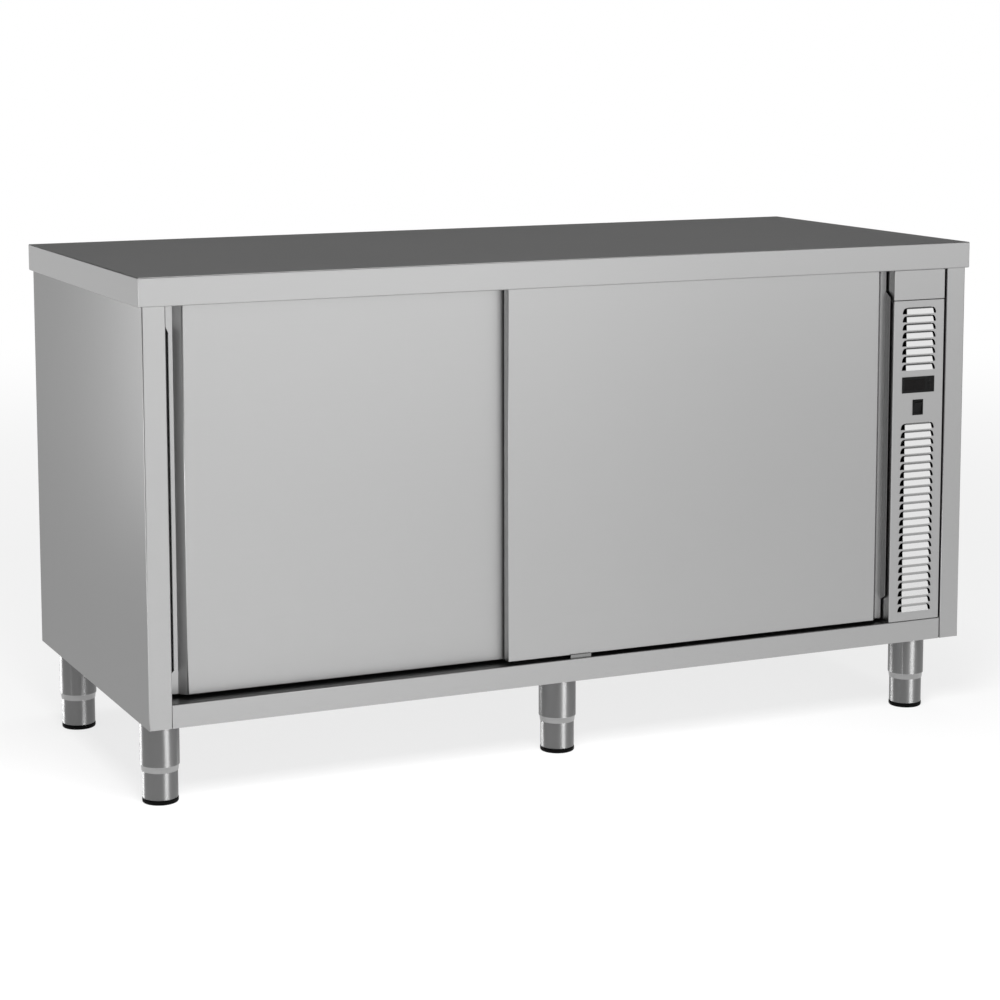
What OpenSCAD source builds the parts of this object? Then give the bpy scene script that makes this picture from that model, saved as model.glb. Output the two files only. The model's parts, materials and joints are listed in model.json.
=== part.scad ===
// Hot cupboard: a heated stainless steel cabinet on six adjustable legs, with two
// sliding doors and a louvred control column at its right.
// Millimetres. The origin is on the floor under the middle of the worktop,
// +X to the right, -Y to the front, +Z up.

/* [Overall] */
// Width of the worktop
length = 1600; // [1400:10:2000]
// Depth of the worktop
depth = 700; // [640:10:800]
// Height of the worktop above the floor
height = 890; // [860:5:940]

/* [Sheet metal] */
// Thickness of the body panels
sheet = 1.2; // [0.8:0.1:1.5]
// Thickness of the worktop sheet
top_sheet = 1.5; // [1:0.1:2]
// Height of the rim round the worktop
rim_h = 48; // [44:1:60]
// Radius of the worktop's upper edges
rim_edge_r = 2; // [1:0.5:3]
// How far the rim stands out past the body's sides
side_over = 7; // [4:1:12]
// How far the rim stands out past the body's front
front_over = 4; // [4:0.5:6]
// How far the rim stands out past the body's back
back_over = 3; // [3:0.5:8]
// How far the folded hem under the rim laps inside the body panels
rim_lap = 2; // [1:0.5:2]
// Width of each front post
post_w = 40; // [32:1:50]
// Depth of the return behind each post
jamb_d = 20; // [15:1:22]
// Height of the apron under the doors
apron_h = 40; // [36:1:60]
// Width of the return that the back panel is screwed to
back_return = 20; // [16:1:30]
// Thickness of the board that stiffens the worktop
core_t = 18; // [12:1:20]
// Height of the chamber's ceiling above the rim's lower edge
ceiling_rise = 4; // [2:1:6]

/* [Chamber] */
// Thickness of the insulated back wall
back_wall_t = 32; // [26:1:40]
// Room behind the doors, in front of the chamber's ceiling
door_room = 14; // [8:1:20]
// Width of the space for the fan and heater
fan_space = 70; // [60:1:90]
// Height of the shelf's top above the chamber's floor
shelf_z = 349; // [250:1:420]
// Height of the shelf's folded edges
shelf_edge = 30; // [20:1:40]
// Distance of the shelf's front edge from the chamber's front
shelf_setback = 20; // [10:1:60]
// Width of each shelf upright
upright_w = 26; // [20:1:36]
// Depth of each shelf upright
upright_d = 10; // [8:1:14]
// Distance of the front uprights from the chamber's front, and of the rear ones from its back
upright_inset = 60; // [45:1:120]
// How far each shelf clip stands out
clip_d = 18; // [14:1:24]
// Height of each shelf clip
clip_h = 6; // [4:1:10]

/* [Doors] */
// Thickness of each door
door_t = 16; // [14:0.5:18]
// Thickness of the door skins
door_skin = 1; // [0.8:0.1:1.2]
// How far the front door's face lies behind the body's front
door_setback = 8; // [7:0.5:10]
// Distance between the two door planes
door_pitch = 23; // [22:0.5:26]
// How far the closed doors lap over each other
door_overlap = 175; // [120:5:260]
// Gap between the left door and its jamb
door_gap_left = 13; // [6:1:20]
// Gap between the right door and its jamb
door_gap_right = 4; // [3:0.5:8]
// Gap under the doors
door_gap_bottom = 5.5; // [4:0.5:8]
// How far the door tops reach up behind the rim
door_lap_top = 6; // [4:0.5:8]
// Width of the slanted wall of the handle
grip_slope = 13.5; // [10:0.5:18]
// Width of the flange behind the grip
grip_flange = 11; // [9:0.5:14]
// Length of the grip
grip_l = 580; // [400:10:600]
// Chamfer at the grip's ends
grip_chamfer = 9; // [4:0.5:14]
// How far the grip lies below the middle of the door
grip_drop = 5; // [0:1:20]

/* [Door gear] */
// Thickness of the track's sheet
rail_t = 1.5; // [1.2:0.1:2]
// Height of the running lips above the rim's lower edge
rail_z = 12.5; // [11:0.5:14]
// Radius of each roller
roller_r = 10; // [8:0.5:11]
// Width of each roller
roller_w = 6; // [5:0.5:7]
// Radius of the roller pins
pin_r = 3; // [2.5:0.25:4]
// Radial clearance of a roller on its pin
pin_play = 0.05; // [0.03:0.01:0.1]
// Width of each hanger
hanger_w = 60; // [40:1:90]
// Thickness of each hanger
hanger_t = 2; // [1.5:0.25:2.5]
// Distance of the hangers from the door's edges
hanger_inset = 120; // [80:5:180]
// Width of the floor guide
guide_w = 40; // [30:1:60]
// Height of the floor guide
guide_h = 11; // [9:0.5:14]
// Thickness of the floor guide's plate and outer fingers
guide_t = 2; // [1.5:0.25:2.5]
// Play between the doors and the guide's fingers
guide_play = 0.8; // [0.5:0.1:1.2]

/* [Control column] */
// Width of the control column
panel_w = 110; // [100:1:150]
// Gap between the control column and the right post
panel_gap = 4; // [3:0.5:6]
// Height of the plain strip over the louvred panel
fascia_h = 55.5; // [40:0.5:65]
// Gap between the strip and the louvred panel
fascia_gap = 0.5; // [0.3:0.1:1]
// Depth of the panel's side returns
panel_return = 15; // [12:1:18]
// Number of louvres over the controller
louvres_upper = 8; // [4:1:8]
// Least room between the lower louvres and the switch
louvre_clear = 12; // [8:0.5:16]
// Distance from louvre to louvre
louvre_pitch = 15; // [14:0.5:15]
// Length of each louvre
louvre_l = 73; // [50:1:80]
// Height of each louvre
louvre_h = 11; // [9:0.5:12]
// Depth of each louvre
louvre_d = 3.8; // [3:0.1:3.9]
// Distance of the lowest louvre from the panel's bottom
louvre_bottom = 14.5; // [10:0.5:20]
// Distance of the highest louvre's top from the panel's top
louvre_top = 17.5; // [12:0.5:24]

/* [Controller and switch] */
// Distance of the controller's middle from the panel's top
controller_drop = 158; // [156:0.5:160]
// Width of the controller's front
controller_w = 70; // [66:1:76]
// Height of the controller's front
controller_h = 30; // [28:0.5:31]
// How far the controller's front stands out
controller_proud = 1.5; // [1:0.1:2]
// Depth of the controller behind the panel
controller_d = 55; // [40:1:70]
// Width of the display window
window_w = 44; // [36:1:46]
// Height of the display window
window_h = 20; // [14:1:22]
// Thickness of the display window
window_t = 1.2; // [0.8:0.1:2]
// Size of each key
key_size = 5; // [4:0.25:5.5]
// Travel of each key
key_travel = 0.6; // [0.4:0.05:0.8]
// Distance from key to key
key_pitch = 8; // [7:0.25:8.5]
// Distance of the switch's middle below the controller's middle
switch_drop = 42.5; // [41:0.5:46]
// Width of the switch
switch_w = 22; // [20:0.5:26]
// Height of the switch
switch_h = 29; // [27:0.5:31]
// How far the switch's frame stands out
switch_proud = 2; // [1:0.1:2.5]
// Depth of the switch behind the panel
switch_d = 24; // [20:1:34]
// Tilt of the rocker to each side
rocker_tilt = 8; // [5:0.5:10]
// Radius of the rocker's pivots
rocker_pin_r = 1.2; // [1:0.05:1.5]

/* [Fan and heater] */
// Distance of the fan's axis behind the middle
fan_y = 20; // [-60:5:100]
// Radius of the impeller
impeller_r = 85; // [60:1:90]
// Width of the impeller
impeller_w = 28; // [20:1:32]
// Number of impeller blades
blade_count = 12; // [6:1:16]
// Radius of the fan's shaft
shaft_r = 5; // [4:0.25:6]
// Running clearance of the shaft in the motor
shaft_play = 0.05; // [0.03:0.01:0.1]
// Radius of the motor
motor_r = 42; // [30:1:60]
// Length of the motor
motor_l = 80; // [60:1:100]
// Radius of the heating ring
element_r = 106; // [100:1:130]
// Radius of the heating element's tube
element_tube_r = 4.2; // [3:0.1:5]
// Distance between the heating element's two ends
element_ends = 28; // [22:1:40]
// Radius of the hole in the cable gland
cable_r = 6.5; // [4:0.25:7]
// Distance of the cable gland from the control column's right edge
gland_inset_x = 45; // [30:1:60]
// Distance of the cable gland from the body's back
gland_inset_y = 32; // [26:1:60]

/* [Legs] */
// Height of the body above the floor
leg_h = 141; // [120:1:160]
// Radius of the leg tubes
leg_r = 33.3; // [30:0.1:36]
// Radius of the adjustable feet
foot_r = 30.1; // [26:0.1:30.5]
// Wall of the legs and feet
leg_wall = 1.5; // [1.2:0.1:1.6]
// Radial clearance of a foot in its leg
foot_play = 0.1; // [0.05:0.01:0.1]
// Height of the leg tube's lower edge
leg_low = 55; // [48:1:65]
// Height of the tapered neck at the leg's lower end
neck_h = 10; // [6:0.5:14]
// Height of the black pad under each foot
pad_h = 8; // [6:0.5:12]
// How far each foot can be screwed out
foot_travel = 30; // [15:1:30]
// Radius of the foot's threaded stud
stud_r = 8; // [6:0.5:10]
// Distance of the left legs from the body's side
leg_inset_left = 37.4; // [36.5:0.1:80]
// Distance of the right legs from the body's side
leg_inset_right = 70; // [37:1:90]
// Distance of the front legs from the body's front
leg_inset_front = 68; // [62:1:110]
// Distance of the rear legs from the body's back
leg_inset_back = 114; // [100:1:160]
// Width of the rails that the legs are bolted to
base_rail_w = 114; // [112:1:130]
// Thickness of the rails
base_rail_t = 1.5; // [1.2:0.1:2]
// Thickness of the plate on each leg
leg_plate_t = 3; // [2:0.25:4]
// Radius of the leg bolts
bolt_r = 4; // [3:0.25:4.5]

/* [Hidden] */
$fn = 48;

// Gap that keeps two moving bodies apart
body_gap = 0.3;
// Overlap that makes a cut pass right through
cut = 1;
// Gap round a piece that is seated in a cut-out
seat_gap = 0.3;

// Body box
body_x = length / 2 - side_over;
front_y = -depth / 2 + front_over;
back_y = depth / 2 - back_over;
rim_z = height - rim_h;
under_top = height - top_sheet;
floor_z = leg_h + apron_h;

// Door opening and control column
post_x = body_x - post_w;
panel_x1 = post_x - panel_gap;
panel_x0 = panel_x1 - panel_w;
panel_mid = (panel_x0 + panel_x1) / 2;
opening_w = panel_x0 + post_x;
panel_top = rim_z - fascia_h - fascia_gap;
controller_z = panel_top - controller_drop;
switch_z = controller_z - switch_drop;
louvre_low = floor_z + louvre_bottom;
louvre_room = switch_z - switch_h / 2 - louvre_clear - louvre_low - louvre_h;
louvres_lower = 1 + floor(louvre_room / louvre_pitch);

// Doors
door_w = (opening_w + door_overlap - door_gap_left - door_gap_right) / 2;
door_z0 = floor_z + door_gap_bottom;
door_z1 = rim_z + door_lap_top;
door_h = door_z1 - door_z0;
front_face_y = front_y + door_setback;
rear_face_y = front_face_y + door_pitch;
left_edge_x = -post_x + door_gap_left;
right_edge_x = panel_x0 - door_gap_right;
slope_skin = door_skin * norm([grip_slope, door_t]) / door_t;
back_skin_x = grip_flange + slope_skin + door_skin * grip_slope / door_t;

// Door gear
lip_z = rim_z + rail_z;
roller_z = lip_z + roller_r + body_gap;
web_front = -3;
web_back = web_front + rail_t;
roller_gap = 1;
roller_front = web_back + roller_gap;
roller_back = roller_front + roller_w;
hanger_front = roller_back + roller_gap;
hanger_back = hanger_front + hanger_t;
hanger_reach = 8;

// Chamber
chamber_y0 = rear_face_y + door_t + door_room;
chamber_y1 = back_y - back_wall_t;
ceiling_z = rim_z + ceiling_rise;
guard_x = panel_x0 - fan_space;
chamber_x1 = guard_x - sheet;
shelf_top = floor_z + shelf_z;
shelf_y0 = chamber_y0 + shelf_setback;
shelf_gap = 1;
shelf_x0 = -post_x + upright_d + shelf_gap;
shelf_x1 = chamber_x1 - upright_d - shelf_gap;
upright_ys = [chamber_y0 + upright_inset, chamber_y1 - upright_inset];
core_z = under_top - core_t;

// Fan and heater
fan_z = (floor_z + ceiling_z) / 2;
motor_x = panel_x0 + sheet;
shaft_hole_gap = 7;
shaft_hole_r = shaft_r + shaft_hole_gap;
shaft_in_motor = 25;
shaft_end_gap = 2;
shaft_nose = 3;
motor_flange_t = 4;
motor_flange_rim = 8;
motor_cap_l = 12;
motor_cap_r = motor_r - motor_cap_l;
impeller_wall_gap = 19;
impeller_back = panel_x0 - impeller_wall_gap;
impeller_front = impeller_back - impeller_w;
impeller_plate = 2;
hub_wall = 9;
hub_r = shaft_r + hub_wall;
hub_play = 0.02;
blade_margin = 1.5;
blade_l = 37;
blade_outer_r = impeller_r - blade_margin;
blade_inner_r = blade_outer_r - blade_l;
blade_t = 1.5;
element_x = (impeller_front + impeller_back) / 2;
element_gap_deg = asin(element_ends / 2 / element_r);
cold_end_wall = 1.3;
cold_end_r = element_tube_r + cold_end_wall;
element_hole_gap = 0.8;
element_hole_r = cold_end_r + element_hole_gap;
element_tail = 20;
element_flange_t = 4;
element_flange_h = 26;
element_flange_rim = 15;
gland_at = [panel_x1 - gland_inset_x, back_y - gland_inset_y];
gland_wall = 3.4;
gland_r = cable_r + gland_wall;
gland_hex_rim = 5;
gland_hex_r = gland_r + gland_hex_rim;
gland_drop = 30;
gland_rise = 19;
gland_cap_wall = 3;
gland_cap_gap = 3;
gland_play = 0.1;
nut_h = 6;

// Legs
leg_xs = [
    -body_x + leg_inset_left,
    (leg_inset_left - leg_inset_right) / 2,
    body_x - leg_inset_right
];
leg_ys = [front_y + leg_inset_front, back_y - leg_inset_back];
leg_plate_w = 70;
leg_plate_l = 110;
bolt_room = 11.7;
bolt_play = 0.15;
bolt_head_h = 5;
bolt_head_rim = 2.4;
bolt_tail = 2;
leg_bolt_reach = leg_r + bolt_room;
neck_edge = 0.8;
neck_step = 2;
foot_hold = 3;
foot_top = leg_low + neck_h + foot_travel + foot_hold;
stud_nut_gap = 2;
stud_nut_z = foot_top + stud_nut_gap;
stud_nut_h = 10;
stud_hold = 2;
stud_top = stud_nut_z + stud_hold + foot_travel;
foot_floor = 4;
pad_chamfer = 1.5;
pad_rim = 0.5;

// Box from its lowest to its highest corner
module block(low, high) {
    translate(low)
        cube(high - low);
}

// Outline in the YZ plane, drawn out along X
module along_x(from, to) {
    translate([from, 0, 0])
        rotate([90, 0, 90])
            linear_extrude(to - from)
                children();
}

// Outline in the XZ plane, drawn out along Y
module along_y(from, to) {
    translate([0, to, 0])
        rotate([90, 0, 0])
            linear_extrude(to - from)
                children();
}

// Round bar along X
module bar_x(from, to, r) {
    translate([from, 0, 0])
        rotate([0, 90, 0])
            cylinder(h = to - from, r = r);
}

// Round bar along Y
module bar_y(from, to, r) {
    translate([0, to, 0])
        rotate([90, 0, 0])
            cylinder(h = to - from, r = r);
}

// Rim seen from its end, with rounded upper corners
module rim_outline(width) {
    translate([-width / 2, rim_z])
        square([width, rim_h - rim_edge_r]);
    translate([-width / 2 + rim_edge_r, rim_z])
        square([width - 2 * rim_edge_r, rim_h]);
    for (side = [-1, 1])
        translate([side * (width / 2 - rim_edge_r), height - rim_edge_r])
            circle(r = rim_edge_r);
}

// Folded worktop with its rim and hem
module worktop() {
    color("silver")
        difference() {
            intersection() {
                along_x(-length / 2, length / 2)
                    rim_outline(depth);
                along_y(-depth / 2, depth / 2)
                    rim_outline(length);
            }
            block(
                [-length / 2 + top_sheet, -depth / 2 + top_sheet, rim_z + top_sheet],
                [length / 2 - top_sheet, depth / 2 - top_sheet, under_top]
            );
            block(
                [-body_x + sheet + rim_lap, front_y + sheet + rim_lap, rim_z - cut],
                [body_x - sheet - rim_lap, back_y - sheet - rim_lap, under_top]
            );
        }
}

// Board under the worktop sheet
module worktop_core() {
    color("tan")
        block(
            [-body_x + sheet + rim_lap, chamber_y0 + sheet, core_z],
            [body_x - sheet - rim_lap, back_y - sheet - rim_lap, under_top]
        );
}

// Side panel with its front post, jamb return and rear return, drawn for the left
module side_panel() {
    block([-body_x, front_y, leg_h], [-body_x + sheet, back_y, rim_z]);
    block([-body_x, front_y, leg_h], [-post_x, front_y + sheet, rim_z]);
    block([-post_x - sheet, front_y, floor_z], [-post_x, front_y + jamb_d, rim_z]);
    block(
        [-body_x, back_y - 2 * sheet, leg_h],
        [-body_x + back_return, back_y - sheet, rim_z]
    );
}

module left_side_panel() {
    color("lightgray")
        side_panel();
}

module right_side_panel() {
    color("lightgray")
        mirror([1, 0, 0])
            side_panel();
}

// Places of the screws along the back panel's two ends
module at_back_screws() {
    rows = 5;
    margin = 50;
    pitch = (rim_z - leg_h - 2 * margin) / (rows - 1);
    for (side = [-1, 1], row = [0 : rows - 1])
        translate([
            side * (body_x - back_return / 2 - sheet / 2),
            0,
            leg_h + margin + row * pitch
        ])
            children();
}

screw_r = 1.9;
screw_play = 0.1;
screw_head_r = 4.2;
screw_head_h = 2.4;
screw_slot_l = 5;
screw_slot_w = 1;
screw_slot_d = 1;

// Outer back panel
module back_panel() {
    color("lightgray")
        difference() {
            block(
                [-body_x + sheet, back_y - sheet, leg_h],
                [body_x - sheet, back_y, rim_z]
            );
            at_back_screws()
                bar_y(back_y - sheet - cut, back_y + cut, screw_r + screw_play);
        }
}

// Pan-headed screws in the back panel
module back_screws() {
    color("gray")
        at_back_screws()
            difference() {
                union() {
                    bar_y(back_y - sheet, back_y, screw_r);
                    bar_y(back_y, back_y + screw_head_h, screw_head_r);
                }
                rotate([0, 45, 0])
                    block(
                        [-screw_slot_l / 2, back_y + screw_head_h - screw_slot_d, -screw_slot_w / 2],
                        [screw_slot_l / 2, back_y + screw_head_h + cut, screw_slot_w / 2]
                    );
            }
}

// Chamber floor with the front apron and the rear fold
module base_panel() {
    color("lightgray")
        difference() {
            union() {
                block(
                    [-body_x + sheet, front_y + sheet, floor_z - sheet],
                    [body_x - sheet, back_y - 2 * sheet, floor_z]
                );
                block([-post_x, front_y, leg_h], [post_x, front_y + sheet, floor_z]);
                block(
                    [-body_x + sheet, back_y - 3 * sheet, leg_h],
                    [body_x - sheet, back_y - 2 * sheet, floor_z]
                );
            }
            translate([gland_at.x, gland_at.y, floor_z - sheet - cut])
                cylinder(h = sheet + 2 * cut, r = gland_r + gland_play);
        }
}

base_rail_z = leg_h + leg_plate_t;

// Channel rails under the floor, one over each row of legs
module base_rails() {
    end_x = body_x - 2 * sheet;
    color("darkgray")
        for (y = leg_ys)
            difference() {
                block(
                    [-end_x, y - base_rail_w / 2, base_rail_z],
                    [end_x, y + base_rail_w / 2, floor_z - sheet]
                );
                block(
                    [-end_x - cut, y - base_rail_w / 2 + base_rail_t, base_rail_z + base_rail_t],
                    [end_x + cut, y + base_rail_w / 2 - base_rail_t, floor_z]
                );
                for (x = leg_xs, side = [-1, 1])
                    translate([x, y + side * leg_bolt_reach, leg_h])
                        cylinder(h = leg_plate_t + base_rail_t + cut, r = bolt_r + bolt_play);
            }
}

// Inner wall at the left of the chamber
module left_liner() {
    color("gainsboro")
        block(
            [-post_x - sheet, front_y + jamb_d, floor_z],
            [-post_x, chamber_y1, ceiling_z]
        );
}

// Inner wall at the back of the chamber
module back_liner() {
    color("gainsboro")
        block(
            [-post_x - sheet, chamber_y1, floor_z],
            [panel_x0 + sheet, chamber_y1 + sheet, ceiling_z]
        );
}

// Ceiling of the chamber, turned up behind the door track
module ceiling_liner() {
    color("gainsboro") {
        block(
            [-post_x - sheet, chamber_y0, ceiling_z],
            [panel_x0 + sheet, chamber_y1 + sheet, ceiling_z + sheet]
        );
        block(
            [-post_x - sheet, chamber_y0, ceiling_z],
            [panel_x0 + sheet, chamber_y0 + sheet, under_top]
        );
    }
}

// Wall between the chamber and the control column
module partition() {
    color("gainsboro")
        difference() {
            block(
                [panel_x0, front_y + panel_return, floor_z],
                [panel_x0 + sheet, chamber_y1, ceiling_z]
            );
            translate([0, fan_y, fan_z])
                bar_x(panel_x0 - cut, panel_x0 + sheet + cut, shaft_hole_r);
            at_element_ends()
                bar_x(panel_x0 - cut, panel_x0 + sheet + cut, element_hole_r);
        }
}

module left_insulation() {
    color("khaki")
        block(
            [-body_x + sheet, front_y + jamb_d, floor_z],
            [-post_x - sheet, back_y - 2 * sheet, rim_z]
        );
}

module back_insulation() {
    color("khaki")
        block(
            [-post_x - sheet, chamber_y1 + sheet, floor_z],
            [panel_x0 + sheet, back_y - sheet, rim_z]
        );
}

module top_insulation() {
    color("khaki")
        block(
            [-post_x - sheet, chamber_y0 + sheet, ceiling_z + sheet],
            [panel_x0 + sheet, chamber_y1 + sheet, core_z]
        );
}

// Double top track, with one running lip for each door
module door_track() {
    color("darkgray")
        along_x(-post_x, panel_x0) {
            translate([front_face_y + web_front, under_top - rail_t])
                square([door_pitch + hanger_back - web_front, rail_t]);
            for (face = [front_face_y, rear_face_y]) {
                translate([face + web_front, lip_z - rail_t])
                    square([rail_t, under_top - lip_z + rail_t]);
                translate([face + web_front, lip_z - rail_t])
                    square([roller_back - web_front, rail_t]);
            }
        }
}

// Floor guide with a finger before, between and behind the doors
module door_guide() {
    front = front_face_y - guide_play - guide_t;
    back = rear_face_y + door_t + guide_play + guide_t;
    between = [front_face_y + door_t + guide_play, rear_face_y - guide_play];
    color("silver")
        along_x(-guide_w / 2, guide_w / 2) {
            translate([front, floor_z])
                square([back - front, guide_t]);
            translate([front, floor_z])
                square([guide_t, guide_h]);
            translate([between[0], floor_z])
                square([between[1] - between[0], guide_h]);
            translate([back - guide_t, floor_z])
                square([guide_t, guide_h]);
        }
}

// Shelf with folded edges
module shelf() {
    color("gainsboro")
        difference() {
            block(
                [shelf_x0, shelf_y0, shelf_top - shelf_edge],
                [shelf_x1, chamber_y1 - shelf_gap, shelf_top]
            );
            block(
                [shelf_x0 + sheet, shelf_y0 + sheet, shelf_top - shelf_edge - cut],
                [shelf_x1 - sheet, chamber_y1 - shelf_gap - sheet, shelf_top - sheet]
            );
        }
}

// Four channel uprights, two at each end of the chamber
module shelf_uprights() {
    color("gainsboro")
        for (y = upright_ys, end = [0, 1])
            translate([end == 0 ? -post_x : chamber_x1, y, 0])
                mirror([end, 0, 0])
                    difference() {
                        block([0, -upright_w / 2, floor_z], [upright_d, upright_w / 2, ceiling_z]);
                        block(
                            [-cut, -upright_w / 2 + sheet, floor_z - cut],
                            [upright_d - sheet, upright_w / 2 - sheet, ceiling_z + cut]
                        );
                    }
}

// Four clips that carry the shelf
module shelf_clips() {
    color("gray")
        for (y = upright_ys, end = [0, 1])
            translate([end == 0 ? shelf_x0 - shelf_gap : shelf_x1 + shelf_gap, y, shelf_top - shelf_edge])
                mirror([end, 0, 0])
                    block([0, -upright_w / 2, -clip_h], [clip_d, upright_w / 2, 0]);
}

// Front of the control column between two heights, with its side returns
module column_front(low, high) {
    block([panel_x0, front_y, low], [panel_x1, front_y + sheet, high]);
    for (x = [panel_x0, panel_x1 - sheet])
        block([x, front_y, low], [x + sheet, front_y + panel_return, high]);
}

// Plain strip over the louvred panel
module fascia_strip() {
    color("lightgray")
        column_front(rim_z - fascia_h, rim_z);
}

louvre_steps = 3;

// Points along the hood's curve, from the panel out to its lower lip
function hood_curve(height, reach) = [
    for (step = [0 : louvre_steps])
        let (angle = 90 * step / louvre_steps)
            [-reach * sin(angle), height * cos(angle)]
];

// Points round the upper corner of a hood's outline, seen from the front
function hood_corner(side, half, r) = [
    for (step = [0 : louvre_steps])
        let (angle = 90 * step / louvre_steps)
            [side * (half - r + r * cos(side > 0 ? angle : 90 - angle)),
             r * sin(side > 0 ? angle : 90 - angle)]
];

// Section through a hood and the panel behind it
module hood_section() {
    polygon(concat(
        [[sheet, 0], [sheet, louvre_h]],
        hood_curve(louvre_h, louvre_d)
    ));
}

// Section through the hollow of a hood and its slot in the panel
module hollow_section() {
    polygon(concat(
        [[0, -cut], [0, 0], [sheet + cut, 0], [sheet + cut, louvre_h - sheet]],
        hood_curve(louvre_h - sheet, louvre_d - sheet),
        [[-louvre_d + sheet, -cut]]
    ));
}

// Outline of a hood seen from the front, drawn in by its wall and open at its foot
module hood_outline(wall, foot) {
    half = louvre_l / 2 - wall;
    r = louvre_h - wall;
    polygon(concat(
        [[half, -foot]],
        hood_corner(1, half, r),
        hood_corner(-1, half, r),
        [[-half, -foot]]
    ));
}

// Heights of the louvres' lower edges
louvre_zs = concat(
    [for (row = [0 : louvres_upper - 1]) panel_top - louvre_top - louvre_h - row * louvre_pitch],
    [for (row = [0 : louvres_lower - 1]) louvre_low + row * louvre_pitch]
);

// All the hoods, full
module hoods() {
    intersection() {
        along_x(panel_x0, panel_x1)
            for (z = louvre_zs)
                translate([front_y, z])
                    hood_section();
        along_y(front_y - louvre_d - cut, front_y + sheet)
            for (z = louvre_zs)
                translate([panel_mid, z])
                    hood_outline(0, 0);
    }
}

// The hollows of all the hoods
module hood_hollows() {
    intersection() {
        along_x(panel_x0, panel_x1)
            for (z = louvre_zs)
                translate([front_y, z])
                    hollow_section();
        along_y(front_y - louvre_d - cut, front_y + sheet + 2 * cut)
            for (z = louvre_zs)
                translate([panel_mid, z])
                    hood_outline(sheet, 2 * cut);
    }
}

controller_wall = 2;
switch_wall = 1.4;

// Louvred panel with the cut-outs for the controller and the switch
module control_panel() {
    color("lightgray")
        difference() {
            union() {
                column_front(floor_z, panel_top);
                hoods();
            }
            hood_hollows();
            translate([panel_mid, 0, controller_z])
                block(
                    [-controller_w / 2 + controller_wall - seat_gap, front_y - cut,
                     -controller_h / 2 + controller_wall - seat_gap],
                    [controller_w / 2 - controller_wall + seat_gap, front_y + sheet + cut,
                     controller_h / 2 - controller_wall + seat_gap]
                );
            translate([panel_mid, 0, switch_z])
                block(
                    [-switch_w / 2 + switch_wall - seat_gap, front_y - cut,
                     -switch_h / 2 + switch_wall - seat_gap],
                    [switch_w / 2 - switch_wall + seat_gap, front_y + sheet + cut,
                     switch_h / 2 - switch_wall + seat_gap]
                );
        }
}

controller_front = front_y - controller_proud;
window_margin = 4;
window_x = panel_mid - controller_w / 2 + window_margin + window_w / 2;
key_x = (panel_mid + controller_w / 2 + window_x + window_w / 2) / 2;
key_hole = key_size + 2 * body_gap;
key_proud = key_travel;
key_l = 3;
key_back_gap = 0.1;

// Controller with the recess for its window and the holes for its keys
module controller_case() {
    color("black")
        difference() {
            translate([panel_mid, 0, controller_z]) {
                block(
                    [-controller_w / 2, controller_front, -controller_h / 2],
                    [controller_w / 2, front_y, controller_h / 2]
                );
                block(
                    [-controller_w / 2 + controller_wall, front_y, -controller_h / 2 + controller_wall],
                    [controller_w / 2 - controller_wall, front_y + controller_d,
                     controller_h / 2 - controller_wall]
                );
            }
            translate([window_x, 0, controller_z])
                block(
                    [-window_w / 2, controller_front - cut, -window_h / 2],
                    [window_w / 2, controller_front + window_t, window_h / 2]
                );
            for (row = [-1 : 1])
                translate([key_x, 0, controller_z + row * key_pitch])
                    block(
                        [-key_hole / 2, controller_front - cut, -key_hole / 2],
                        [key_hole / 2, controller_front - key_proud + key_l + key_travel + key_back_gap,
                         key_hole / 2]
                    );
        }
}

// Display window, seated in the controller's front
module controller_window() {
    color("darkslategray")
        translate([window_x, 0, controller_z])
            block(
                [-window_w / 2, controller_front, -window_h / 2],
                [window_w / 2, controller_front + window_t, window_h / 2]
            );
}

// One key, counted up from the middle one
module key(row) {
    color("dimgray")
        translate([key_x, controller_front - key_proud, controller_z + row * key_pitch])
            block([-key_size / 2, 0, -key_size / 2], [key_size / 2, key_l, key_size / 2]);
}

module key_set() {
    key(-1);
}

module key_up() {
    key(1);
}

module key_down() {
    key(0);
}

switch_front = front_y - switch_proud;
rocker_wall = 3;
rocker_w = switch_w - 2 * rocker_wall - 2 * body_gap;
rocker_room_h = switch_h - 2 * rocker_wall;
rocker_swing = 3.4;
rocker_h = rocker_room_h - rocker_swing;
rocker_face = 5.5;
rocker_back = 3.5;
rocker_dish = 1;
pivot_depth = 4;
pivot_y = front_y + pivot_depth;
rocker_room_d = 8;

// Switch body with its frame, rocker cavity and pivot bores
module switch_housing() {
    color("black")
        translate([panel_mid, 0, switch_z])
            difference() {
                union() {
                    block(
                        [-switch_w / 2, switch_front, -switch_h / 2],
                        [switch_w / 2, front_y, switch_h / 2]
                    );
                    block(
                        [-switch_w / 2 + switch_wall, front_y, -switch_h / 2 + switch_wall],
                        [switch_w / 2 - switch_wall, front_y + switch_d, switch_h / 2 - switch_wall]
                    );
                }
                block(
                    [-switch_w / 2 + rocker_wall, switch_front - cut, -rocker_room_h / 2],
                    [switch_w / 2 - rocker_wall, pivot_y + rocker_room_d, rocker_room_h / 2]
                );
                translate([0, pivot_y, 0])
                    bar_x(-switch_w / 2 + switch_wall - cut, switch_w / 2 - switch_wall + cut,
                          rocker_pin_r + pin_play);
            }
}

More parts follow.
